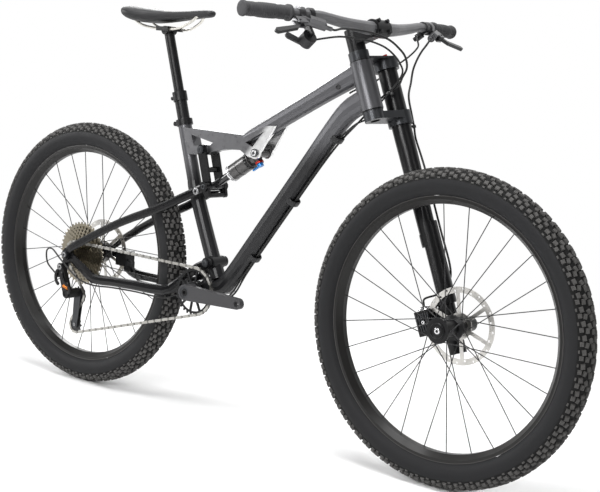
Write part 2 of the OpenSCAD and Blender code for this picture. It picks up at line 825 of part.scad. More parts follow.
module rear_hub() {
    color(black) turned(rear_axle) rotate_extrude() polygon([[rear_axle_r + run_fit, rear_right - 3],
        [flange_r, rear_right - 2.5], [flange_r, rear_right + 2.5], [19, rear_right + 6], [19, rear_left - 6],
        [flange_r, rear_left - 2.5], [flange_r, rear_left + 2.5], [20, rear_left + 6], [20, rear_rotor_y + 2],
        [11, rear_rotor_y + 5], [11, drop_in - pass_gap], [rear_axle_r + run_fit, drop_in - pass_gap]]);
}

module rotor_outline() {
    difference() {
        circle(rotor_r);
        circle(rotor_r - 14);
        for (i = [0 : 23]) rotate(i * 15) translate([rotor_r - 7 + 2.5 * (i % 2 == 0 ? 1 : -1),
        0]) circle(2.6);
    }
    difference() {
        union() {
            circle(31);
            for (i = [0 : 5]) rotate(i * 60 + 20) translate([24, -4.5]) square([rotor_r - 36, 9]);
        }
        circle(20.02);
    }
}

module rotor(at, y) {
    color(silver) turned(at + [0, y - rotor_thick / 2, 0]) linear_extrude(rotor_thick) rotor_outline();
}

module front_rotor() {
    rotor(front_axle, front_rotor_y);
}

module rear_rotor() {
    rotor(rear_axle, rear_rotor_y);
}

// Rear suspension

chainstay_in = boss_out + pass_gap;
boss_len = 12;
stay_left = [st(rear_axle + [8, 76.5, -2], 2.4, 13), st(rear_axle + [73, 77, -35], 6, 14),
    st(rear_axle + [109, 77, -50], 7.5, 14), st(rear_axle + [172, 70, -48], 8, 13),
    st(rear_axle + [251, 62, -46], 8, 13.5), st(pivot + [-131, 50, -90], 8, 14),
    st(pivot + [-97, 40, -73], 7.5, 14), st(pivot + [-67, 34.5, -45], 7, 13),
    st(pivot + [-32, chainstay_in + 7.5, -16], 6.5, 11.5), st(pivot + [0, chainstay_in + 6.3, 0], 5, 11)];
eye_in = drop_in + 6 + pass_gap;
ear_in = rocker_out + pass_gap;
ear_out = ear_in + 9;
ear_slack = 2.9;
eye_slack = 1.8;
upper_left = [st(rear_axle + [6, eye_in + 3, 12], 2.8, 10), st(rear_axle + [40, 82, 34], 6, 11),
    st(rear_axle + [184, 66, 111], 7, 11), st(rocker_low + [-140, 51, -72], 7.5, 11.5),
    st(rocker_low + [-73, 41, -38], 7, 12), st(rocker_low + [-32, 33.5, -17], 5, 12),
    st(rocker_low + [-14, (ear_in + ear_out) / 2, -7], 4.1, 11.5),
    st(rocker_low + [0, (ear_in + ear_out) / 2, 0], 4, 11)];
bridge_at = rocker_low + [10, 0, -22];
hanger = rear_axle + [-6, 0, -34];

module chainstays() {
    color(black) difference() {
        union() {
            both_sides() {
                loft(smooth(stay_left, 2), 12, 2.4);
                turned(rear_axle + [0, drop_in, 0]) cylinder(h = 6, r = 19);
                turned(pivot + [0, chainstay_in, 0]) cylinder(h = boss_len, r = 14);
            }
            turned(pivot + [-90, 0, -62]) cylinder(h = 76, r = 10, center = true);
            plate(-drop_in - 6, -drop_in)
                link_outline([rear_axle.x, rear_axle.z], 15, [hanger.x, hanger.z], 10);
        }
        turned(pivot) cylinder(h = 200, r = main_axle_r + run_fit, center = true);
        turned(pivot) cylinder(h = 2 * chainstay_in, r = 30, center = true);
        turned(rear_axle) cylinder(h = 300, r = rear_axle_r + 0.02, center = true);
        turned(rear_axle) cylinder(h = 2 * drop_in, r = 40, center = true);
    }
}

module rear_axle() {
    color(dark) turned(rear_axle) {
        cylinder(h = 2 * eye_in + 12.6, r = rear_axle_r, center = true);
        for (s = [-1, 1]) translate([0, 0, s * (eye_in + 8.3)]) cylinder(h = 4, r = 10, center = true);
    }
}

module seatstays() {
    color(black) difference() {
        union() {
            both_sides() {
                loft(smooth(upper_left, 3), 12, 2.4);
                turned(rear_axle + [0, eye_in, 0]) cylinder(h = 6, r = 14);
                turned(rocker_low + [0, ear_in, 0]) cylinder(h = ear_out - ear_in, r = 13);
                plate(ear_in, ear_out) link_outline([rocker_low.x, rocker_low.z], 12,
                    [bridge_at.x, bridge_at.z], 7);
            }
            turned(bridge_at) cylinder(h = 2 * ear_out, r = 6, center = true);
        }
        turned(rocker_low) cylinder(h = 200, r = pivot_r + ear_slack, center = true);
        turned(rocker_low) cylinder(h = 2 * ear_in, r = 12 + ear_slack + 0.6, center = true);
        turned(rear_axle) cylinder(h = 300, r = rear_axle_r + run_fit, center = true);
        turned(rear_axle) cylinder(h = 2 * eye_in, r = 19, center = true);
    }
}

module rocker_links() {
    color(black) {
        both_sides() plate(rocker_in, rocker_out) difference() {
            link_outline([rocker_top.x, rocker_top.z], 13, [rocker_low.x, rocker_low.z], 12);
            translate([rocker_top.x, rocker_top.z]) circle(pivot_r + run_fit);
        }
        turned(mix(rocker_top, rocker_low, 0.55)) cylinder(h = 2 * rocker_in + 2, r = 7, center = true);
        headed_pin(rocker_low, pivot_r, ear_out + 4.3, 12.5, 4);
    }
}

// The frame of the shock, with X from the front eye to the rear eye
module shock_frame() {
    translate(shock_front) rotate([0, -shock_tilt, 0]) children();
}

can_end = 112;
dial_at = 18;
dial_up = 21;
shaft_r = 10;
eye_half = yoke_in - pass_gap;

module shock_can() {
    color(black) shock_frame() difference() {
        union() {
            rotate([-90, 0, 0]) cylinder(h = 2 * eye_half, r = 12, center = true);
            translate([5, 0, 0]) rotate([0, 90, 0]) cylinder(h = 20, r = 11);
            translate([22, 0, 0]) rotate([0, 90, 0]) cylinder(h = 16, r = 15);
            translate([36, 0, 0]) rotate([0, 90, 0]) cylinder(h = can_end - 36, r = shock_r);
            translate([dial_at, 0, 0]) cylinder(h = dial_up, r = 10);
        }
        rotate([-90, 0, 0]) cylinder(h = 100, r = pivot_r + run_fit, center = true);
        translate([44, 0, 0]) rotate([0, 90, 0]) cylinder(h = 100, r = shaft_r + run_fit);
    }
}

module shock_shaft() {
    color(silver) shock_frame() difference() {
        union() {
            translate([shock_len - 85, 0, 0]) rotate([0, 90, 0]) cylinder(h = 76, r = shaft_r);
            translate([shock_len, 0, 0]) rotate([-90, 0, 0])
                cylinder(h = 2 * eye_half, r = 12, center = true);
        }
        translate([shock_len, 0, 0]) rotate([-90, 0, 0])
            cylinder(h = 100, r = pivot_r + eye_slack, center = true);
    }
}

module shock_lever() {
    color("#2d62b8") shock_frame() translate([dial_at, 0, dial_up + pass_gap]) union() {
        cylinder(h = 7, r = 8);
        translate([0, -3, 3]) cube([27, 6, 3.4]);
    }
}

// Drivetrain

pedal_right = bb + [crank_len, 0, 0];
pedal_left = bb - [crank_len, 0, 0];
arm_thick = 15;
tooth_half = 0.8;
plate_in = 1.25;
plate_out = 2.65;
chain_half = 4;
cage_in = 4.3;
cage_out = 6;
chain_wheels = [[rear_axle, -pitch_r(cog_teeth[chain_cog])], [bb, -pitch_r(ring_teeth)],
    [tension_at, -pitch_r(pulley_teeth)], [guide_at, pitch_r(pulley_teeth)]];

function next_wheel(i) = chain_wheels[i % 4];
// Direction of the straight chain from wheel i to the wheel after it
function run_way(i) = let (a = next_wheel(i), b = next_wheel(i + 1), d = b[0] - a[0])
    atan2(d.z, d.x) - asin((b[1] - a[1]) / norm(d));
function run_side(way) = [-sin(way), cos(way)];
function on_wheel(i, way) = [next_wheel(i)[0].x, next_wheel(i)[0].z] - next_wheel(i)[1] * run_side(way);
function wrap(i) = let (turn = run_way(i) - run_way(i + 3), s = sign(next_wheel(i)[1]))
    s > 0 ? (turn % 360 + 360) % 360 : -((-turn % 360 + 360) % 360);
// Points along the loop, set out to the left of the way the chain runs
function chain_loop(out) = [for (i = [0 : 3]) let (n = max(6, ceil(abs(wrap(i)) / 9)))
    for (k = [0 : n]) let (way = run_way(i + 3) + wrap(i) * k / n) on_wheel(i, way) + out * run_side(way)];

module cassette() {
    color(silver) difference() {
        union() {
            for (i = [0 : len(cog_teeth) - 1]) {
                y = -chain_line - cog_step * (chain_cog - i);
                plate(y - tooth_half, y + tooth_half) translate([rear_axle.x, rear_axle.z])
                    tooth_outline(cog_teeth[i], pitch_r(cog_teeth[i]) - 3.5, pitch_r(cog_teeth[i]) + 2.2);
            }
            turned(rear_axle + [0, -chain_line - cog_step * chain_cog - 3, 0])
                cylinder(h = cog_step * 10 + 5, r = 17.5);
        }
        turned(rear_axle) cylinder(h = 300, r = rear_axle_r + run_fit, center = true);
        for (i = [0 : 7]) turned(rear_axle + [0, -chain_line + 24, 0]) rotate([0, 0, i * 45])
            translate([49, 0, 0]) cylinder(h = 10, r = 7, center = true);
    }
}

module chainring() {
    color(black) {
        plate(-chain_line - 1, -chain_line + 1) translate([bb.x, bb.z]) difference() {
            tooth_outline(ring_teeth, pitch_r(ring_teeth) - 3.8, pitch_r(ring_teeth) + 2.2);
            circle(pitch_r(ring_teeth) - 9);
        }
        plate(-chain_line - 2, -chain_line + 2) translate([bb.x, bb.z]) difference() {
            union() {
                circle(25);
                for (i = [0 : 9]) rotate(i * 36 + 9) translate([20, -2.6])
                    square([pitch_r(ring_teeth) - 27, 5.2]);
            }
            circle(spindle_r + 0.02);
        }
    }
}

module crank_arm(pedal, low, high, boss_low, boss_high) {
    difference() {
        union() {
            plate(low, high) link_outline([bb.x, bb.z], 20, [pedal.x, pedal.z], 13.5);
            plate(boss_low, boss_high) translate([bb.x, bb.z]) circle(19.5);
        }
        turned(bb) cylinder(h = 300, r = spindle_r + 0.02, center = true);
        turned(pedal) cylinder(h = 300, r = pedal_hole_r, center = true);
    }
}

module crank_arms() {
    color(dark) {
        crank_arm(pedal_right, -crank_out, arm_thick - crank_out, -crank_out + 1, -chain_line - 2.02);
        crank_arm(pedal_left, crank_out - arm_thick, crank_out, shell_width / 2 + 5, crank_out - 1);
    }
}

module crank_spindle() {
    color(silver) turned(bb) difference() {
        cylinder(h = 2 * crank_out - 2, r = spindle_r, center = true);
        cylinder(h = 2 * crank_out, r = 10, center = true);
    }
}

// Rollers between the plates on one straight run, clear of the teeth at its ends
module rollers(i) {
    a = on_wheel(i, run_way(i));
    b = on_wheel((i + 1) % 4, run_way(i));
    count = floor((norm(b - a) - 64) / chain_pitch);
    for (k = [0 : max(count, 0)]) {
        q = mix(a, b, (32 + k * chain_pitch) / norm(b - a));
        turned([q.x, -chain_line, q.y]) cylinder(h = 2 * plate_in, r = 3.8, center = true);
    }
}

module chain() {
    color(silver) {
        for (low = [-chain_line - plate_out, -chain_line + plate_in]) plate(low, low + plate_out - plate_in)
            difference() {
                polygon(chain_loop(chain_half));
                polygon(chain_loop(-chain_half));
            }
        rollers(0);
        rollers(1);
    }
}

module pulley(at) {
    color(black) turned(at + [0, -chain_line, 0]) difference() {
        union() {
            linear_extrude(2 * tooth_half, center = true)
                tooth_outline(pulley_teeth, pitch_r(pulley_teeth) - 3.5, pitch_r(pulley_teeth) + 1.2);
            cylinder(h = 2 * (cage_in - pass_gap), r = 7, center = true);
        }
        cylinder(h = 40, r = 2.5 + run_fit, center = true);
    }
}

module guide_pulley() {
    pulley(guide_at);
}

module tension_pulley() {
    pulley(tension_at);
}

module derailleur_cage() {
    a = [guide_at.x, guide_at.z];
    b = [tension_at.x, tension_at.z];
    color(dark) {
        for (low = [-chain_line - cage_out, -chain_line + cage_in]) plate(low, low + cage_out - cage_in)
            link_outline(a, 13, b, 10);
        for (q = [guide_at, tension_at]) turned(q + [0, -chain_line, 0])
            cylinder(h = 2 * cage_out, r = 2.5, center = true);
    }
}

knuckle = guide_at + [-3, 0, 7];

module derailleur_body() {
    color(black) {
        turned(hanger + [0, -98, 0]) cylinder(h = 98 - drop_in - 6, r = 11);
        turned(knuckle + [0, -97, 0]) cylinder(h = 97 - chain_line - cage_out, r = 13);
        plate(-97, -84) link_outline([hanger.x, hanger.z], 10.5, [knuckle.x, knuckle.z], 12.5);
        plate(-95, -86) link_outline([hanger.x, hanger.z], 8, [hanger.x - 16, hanger.z - 26], 6);
    }
}

module rear_caliper() {
    color(black) difference() {
        union() {
            translate(rear_axle + [66, 41, -27]) cube([40, 33, 40]);
            translate(rear_axle + [82, 60, -46]) cube([24, 16, 30]);
        }
        turned(rear_axle + [0, rear_rotor_y, 0]) cylinder(h = 5, r = rotor_r + 2.5, center = true);
    }
}

// Seat

module seat_post() {
    color(black) union() {
        rod(seat_top + (collar_up - 60) * seat_dir, post_top, post_r);
        translate(post_top + [1, 0, 3]) rotate([-90, 0, 0]) cylinder(h = 36, r = 11, center = true);
        translate(post_top + [-19, -29, 1]) cube([42, 58, 11]);
    }
}

rail_left = [post_top + [112, 12, 44], post_top + [92, 18, 26], post_top + [55, 22, 9], post_top + [22,
    22, 6.5],
    post_top + [-24, 22, 6.5], post_top + [-72, 26, 13], post_top + [-106, 34, 32]];

module saddle_rails() {
    color(silver) both_sides() cord(rail_left, 3.5, 3, [0, 1, 0]);
}

function pad(x, w, top, deep) = [post_top.x + (x + 132) * saddle_len / 286 - 132, 0, post_top.z + top - deep,
    w * saddle_width / 142, deep];
saddle_stations = [pad(-132, 22, 57, 9), pad(-128, 46, 60.5, 15), pad(-116, 64, 62, 19), pad(-96, 71, 61, 21),
    pad(-66, 65, 57.5, 21.5), pad(-28, 47, 54, 20), pad(20, 31, 52.5, 17), pad(68, 22, 54.5, 14),
    pad(118, 18, 58, 12), pad(142, 15.5, 58.5, 10.5), pad(151, 11, 56.5, 8), pad(154, 5, 53.5, 4)];

module saddle() {
    color(black) loft(smooth(saddle_stations, 3), 20, 2.5);
}

// Hoses and housings

hose_r = 2.5;
down_way = unit(down_high - down_low);
down_out = [down_way.z, 0, -down_way.x];
function under_down(t, y, out) = mix(down_low, down_high, t) + out * down_out + [0, y, 0];
hose_out = down_tube_r + hose_r + 0.6;
hose_from = on_barrel(barrel_len + 16.6);
right_brake = flip(on_lever(master_at, hose_from.x, hose_from.y, 0));
right_shift = flip(on_pod(remote_at, -pod_r - 2.2, pod_out, 34));
left_drop = on_pod(remote_at, -11.4, 10, 18);
left_brake = flip(right_brake);
rear_hose = [right_brake, in_steer(82, -186, 150.5), in_steer(82, -158, 155.5), in_steer(85, -110, 155),
    in_steer(89, -60, 150), in_steer(97, -15, 135), in_steer(99, 15, 116), in_steer(97, 37, 96),
    in_steer(86, 50, 74), in_steer(66, 52, 57), in_steer(50, 50, 42), in_steer(10, 44, 32),
    in_steer(-30, 37, 12), in_steer(-51, 21, -6), under_down(0.98, 10, hose_out + 1.5),
    under_down(0.82, 5, hose_out), under_down(0.6, 4, hose_out), under_down(0.35, 4, hose_out),
    under_down(0.1, 5, hose_out), under_down(-0.06, 8, hose_out + 2), bb + [20, 12, -31],
    bb + [-18, 14, -31]];
shift_line = [right_shift, in_steer(56, -182, 143), in_steer(72, -158, 141), in_steer(78, -115, 138),
    in_steer(82, -60, 132), in_steer(87, -20, 119), in_steer(86, 10, 103), in_steer(82, 32, 86),
    in_steer(76, 43, 66), in_steer(52, 43, 47), in_steer(8, 34, 20), in_steer(-36, 24, -8),
    in_steer(-60, 4, -16), under_down(0.98, -2, hose_out + 1.5), under_down(0.82, -2, hose_out),
    under_down(0.6, -2.5, hose_out), under_down(0.35, -2.5, hose_out), under_down(0.1, -3, hose_out),
    under_down(-0.06, -6, hose_out + 2), bb + [20, -12, -31], bb + [-18, -14, -31]];
drop_line = [left_drop, in_steer(44, 195, 163), in_steer(48, 182, 145), in_steer(34, 160, 127),
    in_steer(12, 130, 110), in_steer(-22, 104, 91), in_steer(-28, 66, 76), in_steer(-44, 40, 70),
    in_steer(-60, 27.4, 66), in_steer(-68, 25.4, 64)];
front_hose = [left_brake, in_steer(82, 186, 150), in_steer(75, 178, 140), in_steer(61, 173, 129),
    in_steer(48, 165, 113), in_steer(38, 152, 90), in_steer(31.5, 139, 60),
    in_steer(leg_lead + 20.5, leg_side + 31, 26), in_steer(leg_lead + 17.5, leg_side + 29.5, -16),
    in_steer(leg_lead + 15.5, leg_side + 29.5, -46), in_steer(leg_lead + 14, leg_side + 26, -75),
    in_steer(leg_lead + 20, leg_side + 21, -120), in_steer(leg_lead + 25, leg_side + 16, -170),
    in_steer(leg_lead + 25, leg_side + 16, -300), in_steer(leg_lead + 25, leg_side + 17, -385),
    in_steer(leg_lead + 4, leg_side + 30, -420), in_steer(leg_lead - 22, leg_side + 22, -440),
    in_steer(-40, leg_side - 6, -444), in_steer(-39, front_rotor_y + 8, 71 - axle_to_crown),
    in_steer(-39, front_rotor_y + 8, 55.7 - axle_to_crown)];
shift_tail = [bb + [-19, -14, -31], bb + [-52, -24, -32], pivot + [-97, -38, -99], pivot + [-131, -50, -110],
    rear_axle + [251, -62, -63], rear_axle + [172, -71, -64.5], rear_axle + [109, -82, -67],
    rear_axle + [60, -93, -54], rear_axle + [0, -99, -14], rear_axle + [-38, -100, 12], rear_axle + [-60,
    -100, 4],
    rear_axle + [-58, -98, -28], rear_axle + [-40, -92, -49], rear_axle + [-27.8, -90.5, -56.4]];
brake_tail = [bb + [-19, 14, -31], bb + [-52, 24, -32], pivot + [-97, 38, -99], pivot + [-131, 50, -110],
    rear_axle + [251, 61, -63.5], rear_axle + [172, 66, -66], rear_axle + [136, 59, -60],
    rear_axle + [127, 55, -38],
    rear_axle + [119, 52.5, -18], rear_axle + [113.5, 52, -11.3], rear_axle + [106.5, 52, -10]];

module control_lines() {
    color(black) {
        cord(rear_hose, hose_r, 4, [0.2, 1, 0.1]);
        cord(shift_line, hose_r - 0.3, 4, [0.2, 1, 0.1]);
        cord(drop_line, hose_r - 0.3, 4, [0.3, 0.2, -1]);
    }
}

module front_brake_hose() {
    color(black) cord(front_hose, hose_r, 4, [1, 0.2, 0.3]);
}

module swingarm_lines() {
    color(black) {
        cord(shift_tail, hose_r - 0.3, 4, [0.1, 1, 0.05]);
        cord(brake_tail, hose_r, 4, [0.1, 1, 0.05]);
    }
}

head_tube();
top_tube();
shock_yoke();
down_tube();
seat_tube();
bottom_bracket_shell();
bearing_cups();
seat_collar();
dropper_outer();
pivot_bolts();
steerer_tube();
fork_crowns();
fork_outer_leg();
stem();
handlebar();
grips();
brake_masters();
shifter_body();
dropper_remote();
control_lines();
front_brake_hose();
damper_knob();
brake_blade_left();
brake_blade_right();
shift_paddle();
dropper_paddle();
fork_inner_leg();
front_caliper();
leg_guard();
front_tyre();
front_rim();
front_spokes();
front_hub();
front_rotor();
chainstays();
rear_axle();
derailleur_body();
derailleur_cage();
rear_caliper();
swingarm_lines();
seatstays();
rear_tyre();
rear_rim();
rear_spokes();
rear_hub();
rear_rotor();
cassette();
crank_arms();
crank_spindle();
chainring();
chain();
rocker_links();
shock_can();
shock_shaft();
shock_lever();
guide_pulley();
tension_pulley();
seat_post();
saddle_rails();
saddle();
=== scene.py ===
import math
import bpy
import numpy as np
from mathutils import Matrix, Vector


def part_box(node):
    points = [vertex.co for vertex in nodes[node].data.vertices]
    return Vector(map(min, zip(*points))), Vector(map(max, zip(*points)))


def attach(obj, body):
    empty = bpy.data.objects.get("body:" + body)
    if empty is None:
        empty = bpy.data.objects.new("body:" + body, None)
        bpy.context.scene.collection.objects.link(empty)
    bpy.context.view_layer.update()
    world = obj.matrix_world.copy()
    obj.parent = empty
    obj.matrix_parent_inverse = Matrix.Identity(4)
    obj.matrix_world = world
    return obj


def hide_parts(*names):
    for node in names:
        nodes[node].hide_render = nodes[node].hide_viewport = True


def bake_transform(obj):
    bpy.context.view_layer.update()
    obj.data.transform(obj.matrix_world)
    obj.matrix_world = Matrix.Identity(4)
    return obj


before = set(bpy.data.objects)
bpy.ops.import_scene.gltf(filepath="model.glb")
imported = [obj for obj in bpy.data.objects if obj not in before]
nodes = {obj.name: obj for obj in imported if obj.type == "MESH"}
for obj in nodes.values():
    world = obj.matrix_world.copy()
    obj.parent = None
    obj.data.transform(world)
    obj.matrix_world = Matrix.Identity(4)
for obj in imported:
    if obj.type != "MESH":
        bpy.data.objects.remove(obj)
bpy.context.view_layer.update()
scene = bpy.context.scene
scene.view_settings.view_transform = "Standard"
MM = 0.001


def vec(*values):
    """A point or direction as floats."""
    return np.array(values, float)


# Main sizes and points of the bike in millimetres, repeated from the solid model

FORK_OFFSET, LEG_LENGTH, HEAD_LENGTH = 47, 526, 115
REACH, CHAIN_STAY, BOTTOM_DROP, WHEEL_R = 431, 455, 29, 362
STEM_REACH, STEM_UP = 68, 56
BAR_HALF, BAR_SWEEP, BAR_RISE, BAR_STRAIGHT = 403, 60, 15, 165
HEAD_ANGLE, SEAT_ANGLE, LEVER_TILT, POD_TILT = (math.radians(a) for a in (67.5, 72.2, 38, 52))
steer_up = vec(-math.cos(HEAD_ANGLE), 0, math.sin(HEAD_ANGLE))
steer_fwd = vec(math.sin(HEAD_ANGLE), 0, math.cos(HEAD_ANGLE))
wheelbase = (FORK_OFFSET * math.sin(HEAD_ANGLE) + (LEG_LENGTH + HEAD_LENGTH) * math.cos(HEAD_ANGLE) + REACH
             + math.sqrt(CHAIN_STAY ** 2 - BOTTOM_DROP ** 2))
front_axle = vec(wheelbase / 2, 0, WHEEL_R)
rear_axle = vec(-wheelbase / 2, 0, WHEEL_R)
head_low = front_axle - FORK_OFFSET * steer_fwd + LEG_LENGTH * steer_up
head_top = head_low + HEAD_LENGTH * steer_up
bottom = vec(head_top[0] - REACH, 0, WHEEL_R - BOTTOM_DROP)
pivot = bottom + vec(20, 0, 74)
leg_side, leg_lead = 88, 8
bar_at = head_low + STEM_REACH * steer_fwd + (HEAD_LENGTH + STEM_UP) * steer_up
bar_tip = bar_at + vec(-BAR_SWEEP, BAR_HALF, BAR_RISE)
bar_knee = bar_at + vec(-0.46 * BAR_SWEEP, BAR_HALF - BAR_STRAIGHT, BAR_RISE)
grip_dir = (bar_tip - bar_knee) / np.linalg.norm(bar_tip - bar_knee)
bar_fwd = vec(grip_dir[1], -grip_dir[0], 0)
lever_fwd = bar_fwd * math.cos(LEVER_TILT) - vec(0, 0, math.sin(LEVER_TILT))
lever_low = -bar_fwd * math.sin(LEVER_TILT) - vec(0, 0, math.cos(LEVER_TILT))
pod_fwd = bar_fwd * math.cos(POD_TILT) - vec(0, 0, math.sin(POD_TILT))
pod_low = -bar_fwd * math.sin(POD_TILT) - vec(0, 0, math.cos(POD_TILT))
master_at, remote_at = 155, 184
seat_way = vec(-math.cos(SEAT_ANGLE), 0, math.sin(SEAT_ANGLE))
seat_top = bottom + vec(-60, 0, 247) + 190 * seat_way
post_top = seat_top + 232 * seat_way
rocker_top = bottom + vec(-27, 0, 358)
rocker_low = bottom + vec(0, 0, 267)
shock_front = bottom + vec(152, 0, 367)


def in_steer(x, y, z):
    """A point given along the steering axis frame."""
    return head_low + x * steer_fwd + vec(0, y, 0) + z * steer_up


def on_bar(d):
    """The point at distance d inboard of the left bar tip."""
    return bar_tip - d * grip_dir


def on_lever(d, x, y, z):
    """A point in the tilted frame of a bar control."""
    return on_bar(d) + x * grip_dir + y * lever_fwd + z * lever_low


def on_pod(d, x, y, z):
    """A point in the tilted frame of a thumb control."""
    return on_bar(d) + x * grip_dir + y * pod_fwd + z * pod_low


def flip(p):
    """The mirror image of a point on the other side of the bike."""
    return vec(p[0], -p[1], p[2])


# Camera at the photograph's viewing angle

def placed(right, up, back, place):
    """The matrix of an object with these three directions at this place."""
    m = np.eye(4)
    m[:3] = np.stack([right, up, back, place], 1)
    return Matrix(m.tolist())


def make_camera():
    """The camera stands at the front right, slightly above the bar height, and is rolled a little."""
    yaw, pitch, roll = (math.radians(a) for a in (38.127, 8.168, 4.030))
    back = vec(math.sin(yaw) * math.cos(pitch), -math.cos(yaw) * math.cos(pitch), math.sin(pitch))
    right = np.cross(vec(0, 0, 1), back)
    right /= np.linalg.norm(right)
    up = np.cross(back, right)
    right2 = math.cos(roll) * right + math.sin(roll) * up
    up2 = -math.sin(roll) * right + math.cos(roll) * up
    place = vec(2044.1, -2402.0, 926.2) * MM
    data = bpy.data.cameras.new("photo_camera")
    data.sensor_width = 36
    data.lens = 76.5
    data.clip_end = 60
    cam = bpy.data.objects.new("photo_camera", data)
    scene.collection.objects.link(cam)
    cam.matrix_world = placed(right2, up2, back, place)
    scene.camera = cam


make_camera()


# Material helpers

def new_group(name, inputs, outputs):
    """A shader node group with named sockets."""
    tree = bpy.data.node_groups.new(name, "ShaderNodeTree")
    for label, kind, value in inputs:
        s = tree.interface.new_socket(label, in_out="INPUT", socket_type=kind)
        s.default_value = value
    for label, kind in outputs:
        tree.interface.new_socket(label, in_out="OUTPUT", socket_type=kind)
    return tree, tree.nodes.new("NodeGroupInput"), tree.nodes.new("NodeGroupOutput")


def math_node(tree, op, a, b=None):
    """A math node whose inputs are sockets or numbers."""
    n = tree.nodes.new("ShaderNodeMath")
    n.operation = op
    for i, v in enumerate((a, b)):
        if v is None:
            continue
        if isinstance(v, (int, float)):
            n.inputs[i].default_value = v
        else:
            tree.links.new(v, n.inputs[i])
    return n.outputs[0]


def mix_colour(tree, factor, a, b):
    """A colour mix whose inputs are sockets or colours."""
    n = tree.nodes.new("ShaderNodeMix")
    n.data_type = "RGBA"
    for key, v in ((0, factor), (6, a), (7, b)):
        if isinstance(v, (int, float, tuple)):
            n.inputs[key].default_value = v
        else:
            tree.links.new(v, n.inputs[key])
    return n.outputs[2]


def surface_group():
    """Fine grain, cloudy wear and dust over any surface: two noises at different scales change the tone, the
    roughness and a small height."""
    tree, gi, go = new_group("surface_wear", [
        ("Color", "NodeSocketColor", (0.1, 0.1, 0.1, 1)), ("Tone", "NodeSocketFloat", 0.15),
        ("Roughness", "NodeSocketFloat", 0.4), ("Rough Spread", "NodeSocketFloat", 0.08),
        ("Grain Scale", "NodeSocketFloat", 900.0), ("Cloud Scale", "NodeSocketFloat", 25.0)],
        [("Color", "NodeSocketColor"), ("Roughness", "NodeSocketFloat"), ("Height", "NodeSocketFloat")])
    coord = tree.nodes.new("ShaderNodeTexCoord")
    grain = tree.nodes.new("ShaderNodeTexNoise")
    cloud = tree.nodes.new("ShaderNodeTexNoise")
    grain.inputs["Detail"].default_value = 2
    cloud.inputs["Detail"].default_value = 4
    for n, key in ((grain, "Grain Scale"), (cloud, "Cloud Scale")):
        tree.links.new(coord.outputs["Object"], n.inputs["Vector"])
        tree.links.new(gi.outputs[key], n.inputs["Scale"])
    shift = math_node(tree, "SUBTRACT", cloud.outputs["Fac"], 0.5)
    fine = math_node(tree, "SUBTRACT", grain.outputs["Fac"], 0.5)
    both = math_node(tree, "ADD", shift, math_node(tree, "MULTIPLY", fine, 0.5))
    gain = math_node(tree, "ADD", math_node(tree, "MULTIPLY", math_node(tree, "MULTIPLY", both, 2.0),
                                            gi.outputs["Tone"]), 1.0)
    scale = tree.nodes.new("ShaderNodeVectorMath")
    scale.operation = "SCALE"
    tree.links.new(gi.outputs["Color"], scale.inputs[0])
    tree.links.new(gain, scale.inputs["Scale"])
    tree.links.new(scale.outputs[0], go.inputs["Color"])
    rough = math_node(tree, "ADD", gi.outputs["Roughness"],
                      math_node(tree, "MULTIPLY", math_node(tree, "MULTIPLY", both, 2.0), gi.outputs["Rough Spread"]))
    tree.links.new(rough, go.inputs["Roughness"])
    tree.links.new(grain.outputs["Fac"], go.inputs["Height"])
    return tree


WEAR = surface_group()


def material(name, colour, rough=0.4, metal=0.0, coat=0.0, tone=0.12, spread=0.06, grain=900.0, cloud=25.0, bump=0.05,
             bump_size=0.0004, sheen=0.0, gloss=0.5):
    """A procedural finish built on the shared wear group."""
    m = bpy.data.materials.new(name)
    m.use_nodes = True
    t = m.node_tree
    p = t.nodes["Principled BSDF"]
    g = t.nodes.new("ShaderNodeGroup")
    g.node_tree = WEAR
    g.inputs["Color"].default_value = (*colour, 1)
    g.inputs["Tone"].default_value = tone
    g.inputs["Roughness"].default_value = rough
    g.inputs["Rough Spread"].default_value = spread
    g.inputs["Grain Scale"].default_value = grain
    g.inputs["Cloud Scale"].default_value = cloud
    t.links.new(g.outputs["Color"], p.inputs["Base Color"])
    t.links.new(g.outputs["Roughness"], p.inputs["Roughness"])
    p.inputs["Metallic"].default_value = metal
    p.inputs["Coat Weight"].default_value = coat
    p.inputs["Coat Roughness"].default_value = 0.12
    p.inputs["Specular IOR Level"].default_value = gloss
    if sheen:
        p.inputs["Sheen Weight"].default_value = sheen
    b = t.nodes.new("ShaderNodeBump")
    b.inputs["Strength"].default_value = bump
    b.inputs["Distance"].default_value = bump_size
    t.links.new(g.outputs["Height"], b.inputs["Height"])
    t.links.new(b.outputs["Normal"], p.inputs["Normal"])
    return m


def position(tree, place=(0, 0, 0)):
    """The three parts of the place on the piece, measured from a given point in metres."""
    coord = tree.nodes.new("ShaderNodeTexCoord")
    shift = tree.nodes.new("ShaderNodeMapping")
    shift.inputs["Location"].default_value = tuple(-float(v) for v in place)
    split = tree.nodes.new("ShaderNodeSeparateXYZ")
    tree.links.new(coord.outputs["Object"], shift.inputs["Vector"])
    tree.links.new(shift.outputs["Vector"], split.inputs[0])
    return split.outputs["X"], split.outputs["Y"], split.outputs["Z"]


def ramp_over(tree, value, low, high):
    """A soft step from nought at low to one at high."""
    ramp = tree.nodes.new("ShaderNodeMapRange")
    ramp.interpolation_type = "SMOOTHSTEP"
    ramp.inputs["From Min"].default_value = low
    ramp.inputs["From Max"].default_value = high
    tree.links.new(value, ramp.inputs["Value"])
    return ramp.outputs["Result"]


def group_of(mat):
    """The wear group inside a finish."""
    return [n for n in mat.node_tree.nodes if n.type == "GROUP"][0]


GRAPHITE = (0.096, 0.096, 0.102, 1)


